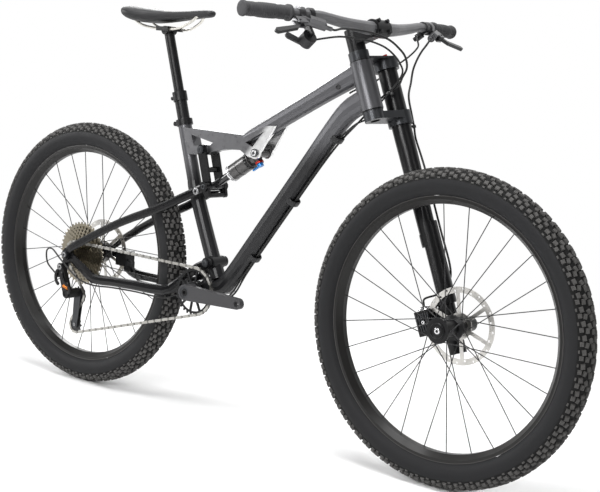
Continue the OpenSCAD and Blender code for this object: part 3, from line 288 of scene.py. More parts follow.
def frame_paint():
    """Satin metallic graphite that fades to black low on the frame: the fade follows the height over the ground less
    a share of the distance forward."""
    m = material("graphite_fade", GRAPHITE[:3], rough=0.41, metal=0.75, coat=0.12, tone=0.1, grain=2600.0,
                 gloss=0.3)
    t = m.node_tree
    x, _, z = position(t)
    level = math_node(t, "SUBTRACT", z, math_node(t, "MULTIPLY", x, 0.22))
    fade = ramp_over(t, level, 0.64, 0.725)
    t.links.new(mix_colour(t, fade, (0.007, 0.007, 0.008, 1), GRAPHITE), group_of(m).inputs["Color"])
    t.links.new(math_node(t, "MULTIPLY", fade, 0.75), t.nodes["Principled BSDF"].inputs["Metallic"])
    return m


def lug_finish():
    """Brushed metal on the lug: graphite from the seat tube to the window, bright on the strut ahead of it. The edge
    between them slants with the window."""
    m = material("brushed_lug", (0.4, 0.4, 0.4), rough=0.3, metal=0.95, tone=0.08, spread=0.08, cloud=70.0)
    t = m.node_tree
    x, _, z = position(t, bottom * MM)
    past = math_node(t, "SUBTRACT", x, math_node(t, "MULTIPLY", z, 0.825))
    bright = ramp_over(t, past, -0.186, -0.160)
    t.links.new(mix_colour(t, bright, (0.18, 0.18, 0.187, 1), (0.82, 0.82, 0.82, 1)), group_of(m).inputs["Color"])
    return m


def rim_finish(name, axle):
    """Dark rim with a paler band at its outer edge, a painted highlight standing in for the reflection along the
    rim's edge: the band's mask follows the distance from the axle.
    """
    m = material(name, (0.012, 0.011, 0.010), rough=0.36, coat=0.1, tone=0.15, gloss=0.25)
    t = m.node_tree
    x, _, z = position(t, axle * MM)
    radius = math_node(t, "SQRT", math_node(t, "ADD", math_node(t, "MULTIPLY", x, x), math_node(t, "MULTIPLY", z, z)))
    # Painted highlight: the outer edge of the rim is coloured paler to stand in for the reflection along it.
    painted_lip_highlight = ramp_over(t, radius, 0.2962, 0.2982)
    t.links.new(mix_colour(t, painted_lip_highlight, (0.0065, 0.006, 0.0056, 1), (0.045, 0.043, 0.042, 1)), group_of(m).inputs["Color"])
    return m


MATS = {
    "paint": frame_paint(),
    "lug": lug_finish(),
    "silver": material("polished_lug", (0.66, 0.66, 0.67), rough=0.24, metal=1.0, tone=0.06, spread=0.05, cloud=60.0),
    "black_gloss": material("black_gloss", (0.004, 0.004, 0.0045), rough=0.26, coat=0.08, tone=0.2, gloss=0.25),
    "black": material("black_satin", (0.006, 0.006, 0.0065), rough=0.38, tone=0.2, gloss=0.22),
    "dark": material("dark_alloy", (0.05, 0.052, 0.056), rough=0.38, metal=0.8, tone=0.12),
    "leg": material("leg_black", (0.005, 0.005, 0.0055), rough=0.33, coat=0.08, tone=0.15, gloss=0.25),
    "rubber": material("tyre_rubber", (0.062, 0.060, 0.058), rough=0.72, tone=0.3, spread=0.1, grain=700.0,
                       cloud=40.0, bump=0.3, bump_size=0.0006, gloss=0.3),
    "wall": material("tyre_wall", (0.0088, 0.0089, 0.0099), rough=0.6, tone=0.2, spread=0.1, grain=500.0,
                     cloud=30.0, bump=0.2, bump_size=0.0003, gloss=0.22),
    # Painted shade: the casing between the knobs gets a darker rubber than the knobs, standing in for the shade in
    # the grooves.
    "shaded_groove": material("tyre_groove_painted_shade", (0.011, 0.011, 0.011), rough=0.8, tone=0.3, bump=0.2, gloss=0.15),
    "rim_front": rim_finish("rim_black_front", front_axle),
    "rim_rear": rim_finish("rim_black_rear", rear_axle),
    "spoke": material("spoke_black", (0.016, 0.016, 0.017), rough=0.38, metal=0.3, tone=0.1, gloss=0.4),
    "steel": material("plain_steel", (0.55, 0.54, 0.52), rough=0.27, metal=1.0, tone=0.1, cloud=90.0),
    "rotor": material("rotor_steel", (0.60, 0.585, 0.56), rough=0.34, metal=1.0, tone=0.08, cloud=120.0),
    "cassette": material("cassette_steel", (0.27, 0.243, 0.19), rough=0.3, metal=1.0, tone=0.15, cloud=80.0),
    "chain": material("chain_steel", (0.42, 0.41, 0.385), rough=0.33, metal=1.0, tone=0.2, cloud=150.0),
    "crank": material("crank_grey", (0.041, 0.0405, 0.043), rough=0.5, metal=0.3, tone=0.12, gloss=0.4),
    "grip": material("grip_rubber", (0.046, 0.046, 0.048), rough=0.72, tone=0.2, spread=0.08, bump=0.25, gloss=0.3),
    "hose": material("hose_black", (0.008, 0.008, 0.008), rough=0.45, tone=0.15, gloss=0.4),
    "plastic": material("control_black", (0.010, 0.010, 0.011), rough=0.42, tone=0.15, bump=0.12, gloss=0.4),
    "master": material("master_alloy", (0.12, 0.12, 0.124), rough=0.3, metal=0.9, tone=0.15, cloud=90.0),
    "bar": material("bar_satin", (0.15, 0.15, 0.155), rough=0.42, metal=0.45, tone=0.1),
    "can": material("can_black", (0.07, 0.068, 0.068), rough=0.3, metal=0.6, coat=0.2, tone=0.15),
    "lever": material("lever_black", (0.02, 0.02, 0.021), rough=0.34, metal=0.4, tone=0.1),
    "shaft": material("shaft_black", (0.02, 0.02, 0.021), rough=0.16, metal=0.5, coat=0.4, tone=0.1),
    "red": material("red_anodised", (0.42, 0.02, 0.015), rough=0.3, metal=0.6, tone=0.1),
    "blue": material("blue_anodised", (0.015, 0.17, 0.48), rough=0.3, metal=0.5, tone=0.1),
    "cap": material("stay_cap_alloy", (0.30, 0.30, 0.305), rough=0.32, metal=0.95, tone=0.1, cloud=90.0),
    "link": material("inner_link_steel", (0.20, 0.195, 0.185), rough=0.38, metal=1.0, tone=0.2, cloud=150.0),
    "orange": material("orange_anodised", (0.62, 0.20, 0.03), rough=0.28, metal=0.8, tone=0.1),
    "rail": material("rail_steel", (0.72, 0.70, 0.65), rough=0.3, metal=1.0, tone=0.06),
    "cover": material("saddle_cover", (0.011, 0.011, 0.012), rough=0.52, tone=0.12, spread=0.04, grain=1300.0,
                      bump=0.12, gloss=0.4),
}

FINISH = {
    "paint": "head_tube top_tube down_tube seat_tube bottom_bracket_shell",
    "lug": "shock_yoke",
    "black_gloss": "chainstays seatstays rocker_links",
    "black": "bearing_cups seat_collar dropper_outer steerer_tube stem chainring derailleur_body "
             "seat_post front_hub rear_hub rear_caliper front_caliper",
    "dark": "pivot_bolts fork_crowns rear_axle crank_spindle derailleur_cage",
    "leg": "fork_outer_leg fork_inner_leg leg_guard",
    "rubber": "front_tyre rear_tyre",
    "rim_front": "front_rim",
    "rim_rear": "rear_rim",
    "spoke": "front_spokes rear_spokes",
    "shaft": "shock_shaft",
    "master": "brake_masters",
    "bar": "handlebar",
    "can": "shock_can",
    "rotor": "front_rotor rear_rotor",
    "cassette": "cassette",
    "chain": "chain",
    "crank": "crank_arms",
    "grip": "grips",
    "hose": "control_lines front_brake_hose swingarm_lines",
    "plastic": "shifter_body dropper_remote shift_paddle dropper_paddle guide_pulley tension_pulley",
    "lever": "brake_blade_left brake_blade_right",
    "red": "damper_knob",
    "blue": "shock_lever",
    "rail": "saddle_rails",
    "cover": "saddle",
}


def paint(obj, key):
    """Gives a piece one finish."""
    obj.data.materials.clear()
    obj.data.materials.append(MATS[key])


def round_off(obj, angle=38):
    """Joins the node's split corners and shades it smooth apart from its real edges."""
    w = obj.modifiers.new("join", "WELD")
    w.merge_threshold = 0.00001
    e = obj.modifiers.new("edges", "EDGE_SPLIT")
    e.split_angle = math.radians(angle)
    n = obj.modifiers.new("even", "WEIGHTED_NORMAL")
    n.keep_sharp = True


for key, names in FINISH.items():
    for name in names.split():
        paint(nodes[name], key)
        round_off(nodes[name])


# Mesh helpers

def mesh_piece(name, points, faces, key, smooth=True):
    """A new piece from points in millimetres and its faces."""
    me = bpy.data.meshes.new(name)
    me.from_pydata((np.asarray(points, float) * MM).tolist(), [], [tuple(int(i) for i in f) for f in faces])
    me.validate()
    me.update()
    if smooth:
        me.polygons.foreach_set("use_smooth", np.ones(len(me.polygons), bool))
    obj = bpy.data.objects.new(name, me)
    scene.collection.objects.link(obj)
    paint(obj, key)
    return obj


def grid_faces(rows, cols, wrap):
    """Quads over rows of points, closed round the columns when wrap is set."""
    r = np.arange(rows - 1)[:, None]
    c = np.arange(cols if wrap else cols - 1)[None, :]
    d = (c + 1) % cols
    quads = np.stack([r * cols + c, r * cols + d, (r + 1) * cols + d, (r + 1) * cols + c], -1)
    return quads.reshape(-1, 4).tolist()


def spline(points, steps):
    """A smooth curve through the points, each stretch a cubic whose slopes come from the neighbours."""
    p = np.array(points, float)
    out = []
    for i in range(len(p) - 1):
        a, b, c, d = p[max(i - 1, 0)], p[i], p[i + 1], p[min(i + 2, len(p) - 1)]
        t = np.linspace(0, 1, steps, endpoint=False)[:, None]
        out.append(0.5 * (2 * b + (c - a) * t + (2 * a - 5 * b + 4 * c - d) * t ** 2
                          + (-a + 3 * b - 3 * c + d) * t ** 3))
    out.append(p[-1:])
    return np.vstack(out)


def tube_points(path, radius, sides):
    """Rings of a round tube: each ring is a circle square to the path, turned as little as possible from the last."""
    way = np.gradient(path, axis=0)
    way /= np.linalg.norm(way, axis=1)[:, None]
    side = np.cross(way[0], vec(0.3, 0.2, 1))
    side /= np.linalg.norm(side)
    turn = np.linspace(0, 2 * math.pi, sides, endpoint=False)
    rings = []
    for i in range(len(path)):
        side = side - way[i] * (side @ way[i])
        side /= np.linalg.norm(side)
        other = np.cross(way[i], side)
        rings.append(path[i] + radius * (np.cos(turn)[:, None] * side + np.sin(turn)[:, None] * other))
    return np.vstack(rings)


def tube(name, path, radius, key, sides=12):
    """A closed round tube along a path."""
    pts = tube_points(np.asarray(path, float), radius, sides)
    faces = grid_faces(len(path), sides, True)
    faces.append(list(range(sides))[::-1])
    faces.append(list(range(len(pts) - sides, len(pts))))
    return mesh_piece(name, pts, faces, key)


# Hoses and housings, along the routes of the solid model

HOSE = 2.5
down_low = bottom + vec(76, 0, 38)
down_high = head_low + 30 * steer_up + vec(-96, 0, -83)
down_way = (down_high - down_low) / np.linalg.norm(down_high - down_low)
down_out = vec(down_way[2], 0, -down_way[0])
OUT = 22.5 + HOSE + 0.6


def under_down(t, y, out):
    """A point under the down tube."""
    return down_low + (down_high - down_low) * t + out * down_out + vec(0, y, 0)


barrel_way = vec(-math.cos(math.radians(19)), math.sin(math.radians(19)))
hose_from = vec(8, 20) + 76.6 * barrel_way
left_brake = on_lever(master_at, hose_from[0], hose_from[1], 0)
right_brake = flip(left_brake)
right_shift = flip(on_pod(remote_at, -19.2, 40, 34))
left_drop = on_pod(remote_at, -11.4, 10, 18)
REAR_HOSE = [right_brake, in_steer(82, -186, 150.5), in_steer(82, -158, 155.5), in_steer(85, -110, 155),
             in_steer(89, -60, 150), in_steer(97, -15, 135), in_steer(99, 15, 116), in_steer(97, 37, 96),
             in_steer(86, 50, 74), in_steer(66, 52, 57), in_steer(50, 50, 42), in_steer(10, 44, 32),
             in_steer(-30, 37, 12), in_steer(-51, 21, -6), under_down(0.98, 10, OUT + 1.5), under_down(0.82, 5, OUT),
             under_down(0.6, 4, OUT), under_down(0.35, 4, OUT), under_down(0.1, 5, OUT),
             under_down(-0.06, 8, OUT + 2), bottom + vec(20, 12, -31), bottom + vec(-18, 14, -31)]
SHIFT_LINE = [right_shift, in_steer(56, -182, 143), in_steer(72, -158, 141), in_steer(78, -115, 138),
              in_steer(82, -60, 132), in_steer(87, -20, 119), in_steer(86, 10, 103), in_steer(82, 32, 86),
              in_steer(76, 43, 66), in_steer(52, 43, 47), in_steer(8, 34, 20), in_steer(-36, 24, -8),
              in_steer(-60, 4, -16), under_down(0.98, -2, OUT + 1.5), under_down(0.82, -2, OUT),
              under_down(0.6, -2.5, OUT), under_down(0.35, -2.5, OUT), under_down(0.1, -3, OUT),
              under_down(-0.06, -6, OUT + 2), bottom + vec(20, -12, -31), bottom + vec(-18, -14, -31)]
DROP_LINE = [left_drop, in_steer(44, 195, 163), in_steer(48, 182, 145), in_steer(34, 160, 127),
             in_steer(12, 130, 110), in_steer(-22, 104, 91), in_steer(-28, 66, 76), in_steer(-44, 40, 70),
             in_steer(-60, 27.4, 66), in_steer(-68, 25.4, 64)]
FRONT_HOSE = [left_brake, in_steer(82, 186, 150), in_steer(75, 178, 140), in_steer(61, 173, 129),
              in_steer(48, 165, 113), in_steer(38, 152, 90), in_steer(31.5, 139, 60),
              in_steer(leg_lead + 20.5, leg_side + 31, 26), in_steer(leg_lead + 17.5, leg_side + 29.5, -16),
              in_steer(leg_lead + 15.5, leg_side + 29.5, -46), in_steer(leg_lead + 14, leg_side + 26, -75),
              in_steer(leg_lead + 20, leg_side + 21, -120), in_steer(leg_lead + 25, leg_side + 16, -170),
              in_steer(leg_lead + 25, leg_side + 16, -300), in_steer(leg_lead + 25, leg_side + 17, -385),
              in_steer(leg_lead + 4, leg_side + 30, -420), in_steer(leg_lead - 22, leg_side + 22, -440),
              in_steer(-40, leg_side - 6, -444), in_steer(-39, 69, -455), in_steer(-39, 69, -470.3)]
SHIFT_TAIL = [bottom + vec(-19, -14, -31), bottom + vec(-52, -24, -32), pivot + vec(-97, -38, -99),
              pivot + vec(-131, -50, -110), rear_axle + vec(251, -62, -63), rear_axle + vec(172, -71, -64.5),
              rear_axle + vec(109, -82, -67), rear_axle + vec(60, -93, -54), rear_axle + vec(0, -99, -14),
              rear_axle + vec(-38, -100, 12), rear_axle + vec(-60, -100, 4), rear_axle + vec(-58, -98, -28),
              rear_axle + vec(-40, -92, -49), rear_axle + vec(-27.8, -90.5, -56.4)]
BRAKE_TAIL = [bottom + vec(-19, 14, -31), bottom + vec(-52, 24, -32), pivot + vec(-97, 38, -99),
              pivot + vec(-131, 50, -110), rear_axle + vec(251, 61, -63.5), rear_axle + vec(172, 66, -66),
              rear_axle + vec(136, 59, -60), rear_axle + vec(127, 55, -38), rear_axle + vec(119, 52.5, -18),
              rear_axle + vec(113.5, 52, -11.3), rear_axle + vec(106.5, 52, -10)]


def bend(obj):
    """Bakes a line's placing into its points; the line is left on no body."""
    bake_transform(obj)


line_a = tube("rear_brake_hose", spline(REAR_HOSE, 8), HOSE, "hose")
line_b = tube("shift_housing", spline(SHIFT_LINE, 8), HOSE - 0.3, "hose")
line_c = tube("dropper_housing", spline(DROP_LINE, 8), HOSE - 0.3, "hose")
for piece in (line_a, line_b):
    bend(piece)
bend(line_c)
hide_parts("control_lines")
line_d = tube("front_hose", spline(FRONT_HOSE, 8), HOSE, "hose")
bend(line_d)
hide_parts("front_brake_hose")
tail_a = tube("rear_shift_housing", spline(SHIFT_TAIL, 8), HOSE - 0.3, "hose")
tail_b = tube("rear_hose_tail", spline(BRAKE_TAIL, 8), HOSE, "hose")
for piece in (tail_a, tail_b):
    bend(piece)
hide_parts("swingarm_lines")


# Saddle: stations along its length, each a crowned section with a soft channel

SADDLE = [(-133, 8, 53, 5), (-131, 30, 57.5, 15), (-127, 48, 60.5, 25), (-116, 64, 62, 34), (-96, 71, 61, 39),
          (-66, 65, 57.5, 38), (-28, 47, 54, 33), (20, 31, 52.5, 27), (68, 22, 54.5, 23), (118, 18, 58, 20),
          (142, 15.5, 58.5, 18), (150, 11.5, 57, 13), (153.4, 6, 54, 7), (154, 1.5, 52, 2)]


SKIN_SIDES = 56


def saddle_piece():
    """Saddle skin: the section at each station is a rounded oblong whose top is crowned and dips along the middle."""
    s = spline([vec(*q) for q in SADDLE], 6)
    turn = np.linspace(0, 2 * math.pi, SKIN_SIDES, endpoint=False)
    c, n = np.cos(turn), np.sin(turn)
    across = np.sign(c) * np.abs(c) ** 0.75
    rise = np.sign(n) * np.abs(n) ** 0.85
    rows = []
    for x, w, top, deep in s:
        w, deep = max(w, 0.6), max(deep, 0.5)
        y = across * w
        z = np.where(rise > 0, rise * deep * 0.45, rise * deep * 0.55)
        mid = np.exp(-(y / (0.16 * w + 3)) ** 2) * np.clip(n, 0, 1)
        fade = np.clip((x + 125) / 40, 0, 1) * np.clip((120 - x) / 50, 0, 1)
        z = z - 2.6 * mid * fade - 1.2 * (np.abs(y) / w) ** 4 * np.clip(n, 0, 1)
        rows.append(np.stack([np.full_like(y, x), y, top - deep * 0.45 + z], -1))
    pts = np.vstack(rows)
    faces = grid_faces(len(rows), SKIN_SIDES, True)
    faces.append(list(range(SKIN_SIDES))[::-1])
    faces.append(list(range(len(pts) - SKIN_SIDES, len(pts))))
    return pts + post_top, faces


pts, faces = saddle_piece()
seat_skin = mesh_piece("saddle_skin", pts, faces, "cover")
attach(seat_skin, "seat")
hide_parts("saddle")


# Tyres: a round casing with staggered rows of tapered knobs

KNOB, CASE, BEAD_R = 4.5, 32.7, 299.4
CASE_AT = WHEEL_R - KNOB - CASE
BEAD_TURN = math.acos((BEAD_R - CASE_AT) / CASE)
CASE_ROWS, CASE_COLS = 232, 45
PITCHES = 74


def tyre_casing(rows, cols):
    """Casing skin: a circle of the casing radius swept round the axle, open inside the rim, with a fine raised line
    at the edge of the tread and at the bead."""
    phi = np.linspace(-BEAD_TURN, BEAD_TURN, cols)
    turn = np.linspace(0, 2 * math.pi, rows, endpoint=False)
    lift = 0.7 * np.exp(-((np.abs(phi) - 1.28) / 0.035) ** 2) + 0.9 * np.exp(-((np.abs(phi) - 2.15) / 0.05) ** 2)
    r = CASE_AT + (CASE - 0.4 + lift * 0.6) * np.cos(phi)
    y = (CASE - 0.4 + lift * 0.6) * np.sin(phi)
    pts = np.stack([r[None, :] * np.cos(turn)[:, None], np.broadcast_to(y, (rows, cols)),
                    r[None, :] * np.sin(turn)[:, None]], -1).reshape(-1, 3)
    k = np.arange(rows)[:, None]
    c = np.arange(cols - 1)[None, :]
    n = (k + 1) % rows
    quads = np.stack([k * cols + c, n * cols + c, n * cols + c + 1, k * cols + c + 1], -1).reshape(-1, 4)
    return pts, quads


def tread_knobs():
    """Knobs: each is a block on the casing whose top is drawn in, given by its turn round the wheel, its slant across
    the tread, its length, width and height, and its twist. A row holds staggered knobs from the middle to the
    shoulders, mirrored half a step on, and every second row is shaped a little differently."""
    rows = []
    step = 2 * math.pi / PITCHES
    for i in range(PITCHES):
        for s in (-1, 1):
            half = 0.5 if s > 0 else 0.0
            v = 1 if i % 2 else -1
            at = i + half
            rows += [(at * step, s * (0.12 + 0.03 * v), 13 + 1.5 * v, 8.0, KNOB - 0.3, s * (0.1 + 0.1 * v)),
                     ((at + 0.42) * step, s * (0.36 - 0.03 * v), 11 - v, 8.5, KNOB - 0.3, s * 0.35),
                     ((at + 0.12) * step, s * (0.60 + 0.03 * v), 11.5, 8.0, KNOB - 0.2, -s * (0.2 + 0.1 * v)),
                     ((at + 0.62) * step, s * 0.80, 12.0, 9.0, KNOB, s * 0.12),
                     ((at + 0.20) * step, s * 0.95, 10.0, 9.0, KNOB - 0.2, 0.0),
                     ((at + 0.65) * step, s * 1.13, 7.0, 4.0, 2.2, 0.0)]
    q = np.array(rows)
    turn, phi, long, wide, high, twist = q.T
    corners = np.array([(-1, -1), (1, -1), (1, 1), (-1, 1)], float)
    pts = []
    for level, inset in ((-0.8, 1.08), (0.72, 0.92), (1.0, 0.78)):
        for a, b in corners:
            u, v = a * long * inset / 2, b * wide * inset / 2
            du, dv = u * np.cos(twist) - v * np.sin(twist), u * np.sin(twist) + v * np.cos(twist)
            h = np.where(level < 0, -0.8, level * high)
            ang = phi + dv / (CASE + 2)
            r = CASE_AT + (CASE - 0.4 + h) * np.cos(ang)
            y = (CASE - 0.4 + h) * np.sin(ang)
            t = turn + du / (CASE_AT + CASE * np.cos(phi))
            pts.append(np.stack([r * np.cos(t), y, r * np.sin(t)], -1))
    pts = np.stack(pts, 1)
    n = len(q)
    base = (np.arange(n) * 12)[:, None]
    faces = [(8, 11, 10, 9)]
    for lo in (0, 4):
        for k in range(4):
            j = (k + 1) % 4
            faces.append((lo + k, lo + 4 + k, lo + 4 + j, lo + j))
    quads = (base[:, :, None] + np.array(faces)[None, :, :]).reshape(-1, 4)
    return pts.reshape(-1, 3), quads


def make_tyre(name, axle, body, node):
    """One tyre: the casing and the knobs in one mesh round its axle, with plain side walls, and the casing between
    the knobs coloured darker as painted shade in the grooves.
    """
    p1, q1 = tyre_casing(CASE_ROWS, CASE_COLS)
    p2, q2 = tread_knobs()
    pts = np.vstack([p1, p2]) + axle
    quads = np.vstack([q1, q2 + len(p1)])
    obj = mesh_piece(name, pts, quads, "rubber", smooth=False)
    flags = np.zeros(len(obj.data.polygons), bool)
    flags[:len(q1)] = True
    obj.data.polygons.foreach_set("use_smooth", flags)
    for key in ("wall", "shaded_groove"):
        obj.data.materials.append(MATS[key])
    side = np.abs(np.linspace(-BEAD_TURN, BEAD_TURN, CASE_COLS)[:-1] + BEAD_TURN / (CASE_COLS - 1))
    kind = np.zeros(len(obj.data.polygons), np.int32)
    # Side walls take the wall rubber. The tread band between the knobs takes the darker groove colour, which is
    # painted shade.
    kind[:len(q1)] = np.tile(np.where(side > 1.22, 1, 2), CASE_ROWS)
    obj.data.polygons.foreach_set("material_index", kind)
    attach(obj, body)
    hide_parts(node)
    return obj


make_tyre("front_tread", front_axle, "front_wheel", "front_tyre")
make_tyre("rear_tread", rear_axle, "rear_wheel", "rear_tyre")


# Grips: ribbed sleeves with a lock ring inboard and a rounded end

def revolve(origin, way, profile, sides=40):
    """A surface of revolution: the profile gives distance along the axis and radius."""
    way = way / np.linalg.norm(way)
    side = np.cross(way, vec(0, 0, 1))
    side /= np.linalg.norm(side)
    other = np.cross(way, side)
    turn = np.linspace(0, 2 * math.pi, sides, endpoint=False)
    prof = np.asarray(profile, float)
    ring = np.cos(turn)[:, None] * side + np.sin(turn)[:, None] * other
    pts = (origin + prof[:, 0][:, None, None] * way + prof[:, 1][:, None, None] * ring[None]).reshape(-1, 3)
    return pts, grid_faces(len(prof), sides, True)


def grip_profile():
    """Grip outline from the bar tip inboard: a rounded end, close ribs with two plain bands, then the lock ring."""
    d = np.arange(6.0, 118.0, 0.8)
    rib = 0.9 * (0.5 + 0.5 * np.cos(d * 2 * math.pi / 4.8))
    plain = np.exp(-((d - 34) / 6) ** 4) + np.exp(-((d - 92) / 5) ** 4)
    r = 15.0 + rib * (1 - np.clip(plain, 0, 1)) + 0.5 * np.cos((d - 62) / 56 * math.pi)
    head = [(-3.2, 0.2), (-3.1, 8), (-2.2, 14.0), (0, 16.8), (3, 17.3), (5.2, 16.4)]
    tail = [(118.5, 16.2), (120.2, 17.4), (121.5, 18), (126.5, 18), (127.6, 17.2), (127.8, 12)]
    return head + list(zip(d, r)) + tail


for s in (1, -1):
    tip = on_bar(0) if s > 0 else flip(on_bar(0))
    way = -grip_dir if s > 0 else -vec(grip_dir[0], -grip_dir[1], grip_dir[2])
    pts, faces = revolve(tip, way, grip_profile())
    g = mesh_piece("grip_left" if s > 0 else "grip_right", pts, faces, "grip")
    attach(g, "steering")
    if s > 0:
        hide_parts("grips")


# Small fittings: bolts, rings, clips and links

def joined(parts):
    """Several point sets and their faces as one."""
    pts, faces, start = [], [], 0
    for p, f in parts:
        pts.append(p)
        faces += [[i + start for i in q] for q in f]
        start += len(p)
    return np.vstack(pts), faces


def across(way):
    """Two directions square to a way and to each other, in a right-handed order."""
    way = way / np.linalg.norm(way)
    side = np.cross(way, vec(0.31, 0.17, 0.93))
    side /= np.linalg.norm(side)
    return way, side, np.cross(way, side)


def socket_bolt(at, way, r, high, sides=36):
    """Bolt head: a short turned drum with a rounded rim, whose inner rows follow a six-sided outline and sink to form
    the key socket. A row's radius is its turned radius times the hexagon's share at that row."""
    way, side, other = across(way)
    turn = np.linspace(0, 2 * math.pi, sides, endpoint=False)
    hexagon = math.cos(math.pi / 6) / np.cos((turn + math.pi / 6) % (math.pi / 3) - math.pi / 6)
    rows = np.array([(-1.5, r, 0), (0.55 * high, r, 0), (0.85 * high, 0.95 * r, 0), (high, 0.84 * r, 0),
                     (high, 0.58 * r, 0), (0.9 * high, 0.5 * r, 1), (high - 0.5 * r, 0.5 * r, 1),
                     (high - 0.55 * r, 0.1 * r, 1)])
    radius = rows[:, 1:2] * (1 - rows[:, 2:3] + rows[:, 2:3] * hexagon[None, :])
    ring = np.cos(turn)[:, None] * side + np.sin(turn)[:, None] * other
    pts = at + rows[:, 0][:, None, None] * way + radius[:, :, None] * ring[None]
    faces = grid_faces(len(rows), sides, True)
    faces.append(list(range(sides))[::-1])
    faces.append(list(range((len(rows) - 1) * sides, len(rows) * sides)))
    return pts.reshape(-1, 3), faces


SECTION = 16


def squared(v, power):
    """Pulls a round section towards a square one: the sign of a value times a power of its size."""
    return np.sign(v) * np.abs(v) ** power


def band(at, way, r_in, r_out, wide, ribs=0, sides=60):
    """Ring round an axis: a rounded oblong section carried round a circle, its outside raised in ribs where asked."""
    way, side, other = across(way)
    turn = np.linspace(0, 2 * math.pi, sides, endpoint=False)
    loop = np.linspace(0, 2 * math.pi, SECTION, endpoint=False)
    along = squared(np.sin(loop), 0.45) * wide / 2
    out = (r_in + r_out) / 2 + squared(np.cos(loop), 0.45) * (r_out - r_in) / 2
    rib = 1 - 0.035 * (np.cos(turn * ribs) > 0.3) if ribs else np.ones(sides)
    scale = np.where(out[:, None] > (r_in + r_out) / 2, rib[None, :], 1.0)
    ring = np.cos(turn)[:, None] * side + np.sin(turn)[:, None] * other
    pts = at + along[:, None, None] * way + (out[:, None] * scale)[:, :, None] * ring[None]
    rows, cols = SECTION, sides
    r = np.arange(rows)[:, None]
    c = np.arange(cols)[None, :]
    quads = np.stack([r * cols + c, r * cols + (c + 1) % cols, (r + 1) % rows * cols + (c + 1) % cols,
                      (r + 1) % rows * cols + c], -1)
    return pts.reshape(-1, 3), quads.reshape(-1, 4)[:, ::-1].tolist()


def strap(path, half_wide, half_thick, wide_way, steps=6, round_end=0.35):
    """Flat bar along a smooth path: its section is a rounded oblong, wide along one direction, that narrows at both
    ends."""
    line = spline(path, steps)
    way = np.gradient(line, axis=0)
    way /= np.linalg.norm(way, axis=1)[:, None]
    wide = wide_way - way * (way @ wide_way)[:, None]
    wide /= np.linalg.norm(wide, axis=1)[:, None]
    thick = np.cross(way, wide)
    loop = np.linspace(0, 2 * math.pi, SECTION, endpoint=False)
    share = np.linspace(0, 1, len(line))
    ends = np.clip(np.minimum(share, 1 - share) / 0.08, 0, 1) ** 0.5 * (1 - round_end) + round_end
    a = (squared(np.cos(loop), 0.5)[None, :] * half_wide * ends[:, None])[:, :, None] * wide[:, None, :]
    b = (squared(np.sin(loop), 0.5)[None, :] * half_thick * ends[:, None])[:, :, None] * thick[:, None, :]
    pts = (line[:, None, :] + a + b).reshape(-1, 3)
    faces = grid_faces(len(line), SECTION, True)
    faces.append(list(range(SECTION))[::-1])
    faces.append(list(range(len(pts) - SECTION, len(pts))))
    return pts, faces


def fitting(name, parts, key, body, smooth=True):
    """A named fitting on one body, made of several parts."""
    pts, faces = joined(parts)
    obj = mesh_piece(name, pts, faces, key, smooth)
    e = obj.modifiers.new("edges", "EDGE_SPLIT")
    e.split_angle = math.radians(40)
    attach(obj, body)
    return obj


LEFT, RIGHT = vec(0, 1, 0), vec(0, -1, 0)
shock_way = (rocker_low - shock_front) / np.linalg.norm(rocker_low - shock_front)
shock_down = vec(-shock_way[2], 0, shock_way[0])
out_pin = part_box("pivot_bolts")[1].y / MM
fitting("pivot_caps", [socket_bolt(p + s * vec(0, y, 0), s * LEFT, r, 1.4) for s in (-1, 1)
                       for p, y, r in ((rocker_top, 31.3, 7.4), (pivot, out_pin, 7.6))], "dark", "frame")
fitting("shock_pin_caps", [socket_bolt(shock_front + s * vec(0, 31, 0), s * LEFT, 7.6, 1.4) for s in (-1, 1)],
        "silver", "frame")
stay_cap = bottom + vec(-27, 0, 252)
fitting("stay_caps", [socket_bolt(stay_cap + s * vec(0, 37.4, 0), s * LEFT, 9, 2.2) for s in (-1, 1)],
        "cap", "seatstays")
fitting("rocker_caps", [socket_bolt(rocker_low + s * vec(0, 40.5, 0), s * LEFT, 6.5, 1.6) for s in (-1, 1)],
        "dark", "rocker")

# Shock: pale ring at the can's mouth, collar at its head, red ring over the dial

fitting("shock_rings", [band(shock_front + 109.5 * shock_way, shock_way, 20.4, 22.4, 4.5),
                        band(shock_front + 104 * shock_way, shock_way, 20.4, 22.0, 2.2)], "silver", "shock_can")
fitting("shock_collar", [band(shock_front + 43 * shock_way, shock_way, 20.4, 22.6, 9, ribs=24),
                         band(shock_front + 78 * shock_way, shock_way, 20.6, 21.5, 1.6)], "black_gloss", "shock_can")
dial = shock_front + 18 * shock_way
fitting("shock_red_ring", [band(dial + 17.5 * shock_down, shock_down, 9.4, 11.0, 5.4, ribs=18)], "red", "shock_can")

# Hose clips under the down tube, and a port on the top tube

clips = []
for t in (0.985, 0.58, 0.20):
    arc = [under_down(t, -17, 13), under_down(t, -15, 24), under_down(t, -8, 31.5), under_down(t, 2, 33),
           under_down(t, 11, 31), under_down(t, 16.5, 23), under_down(t, 17.5, 13)]
    clips.append(strap(arc, 7, 1.8, down_way))
fitting("hose_clips", clips, "plastic", "frame")
port = vec(253.6, -20.3, 876.3)
fitting("cable_port", [band(port, RIGHT, 3.4, 6.6, 3.0), socket_bolt(port, RIGHT, 3.8, 0.8)], "plastic", "frame")

# Crank bolts, and the bolt and ring at the end of the front axle

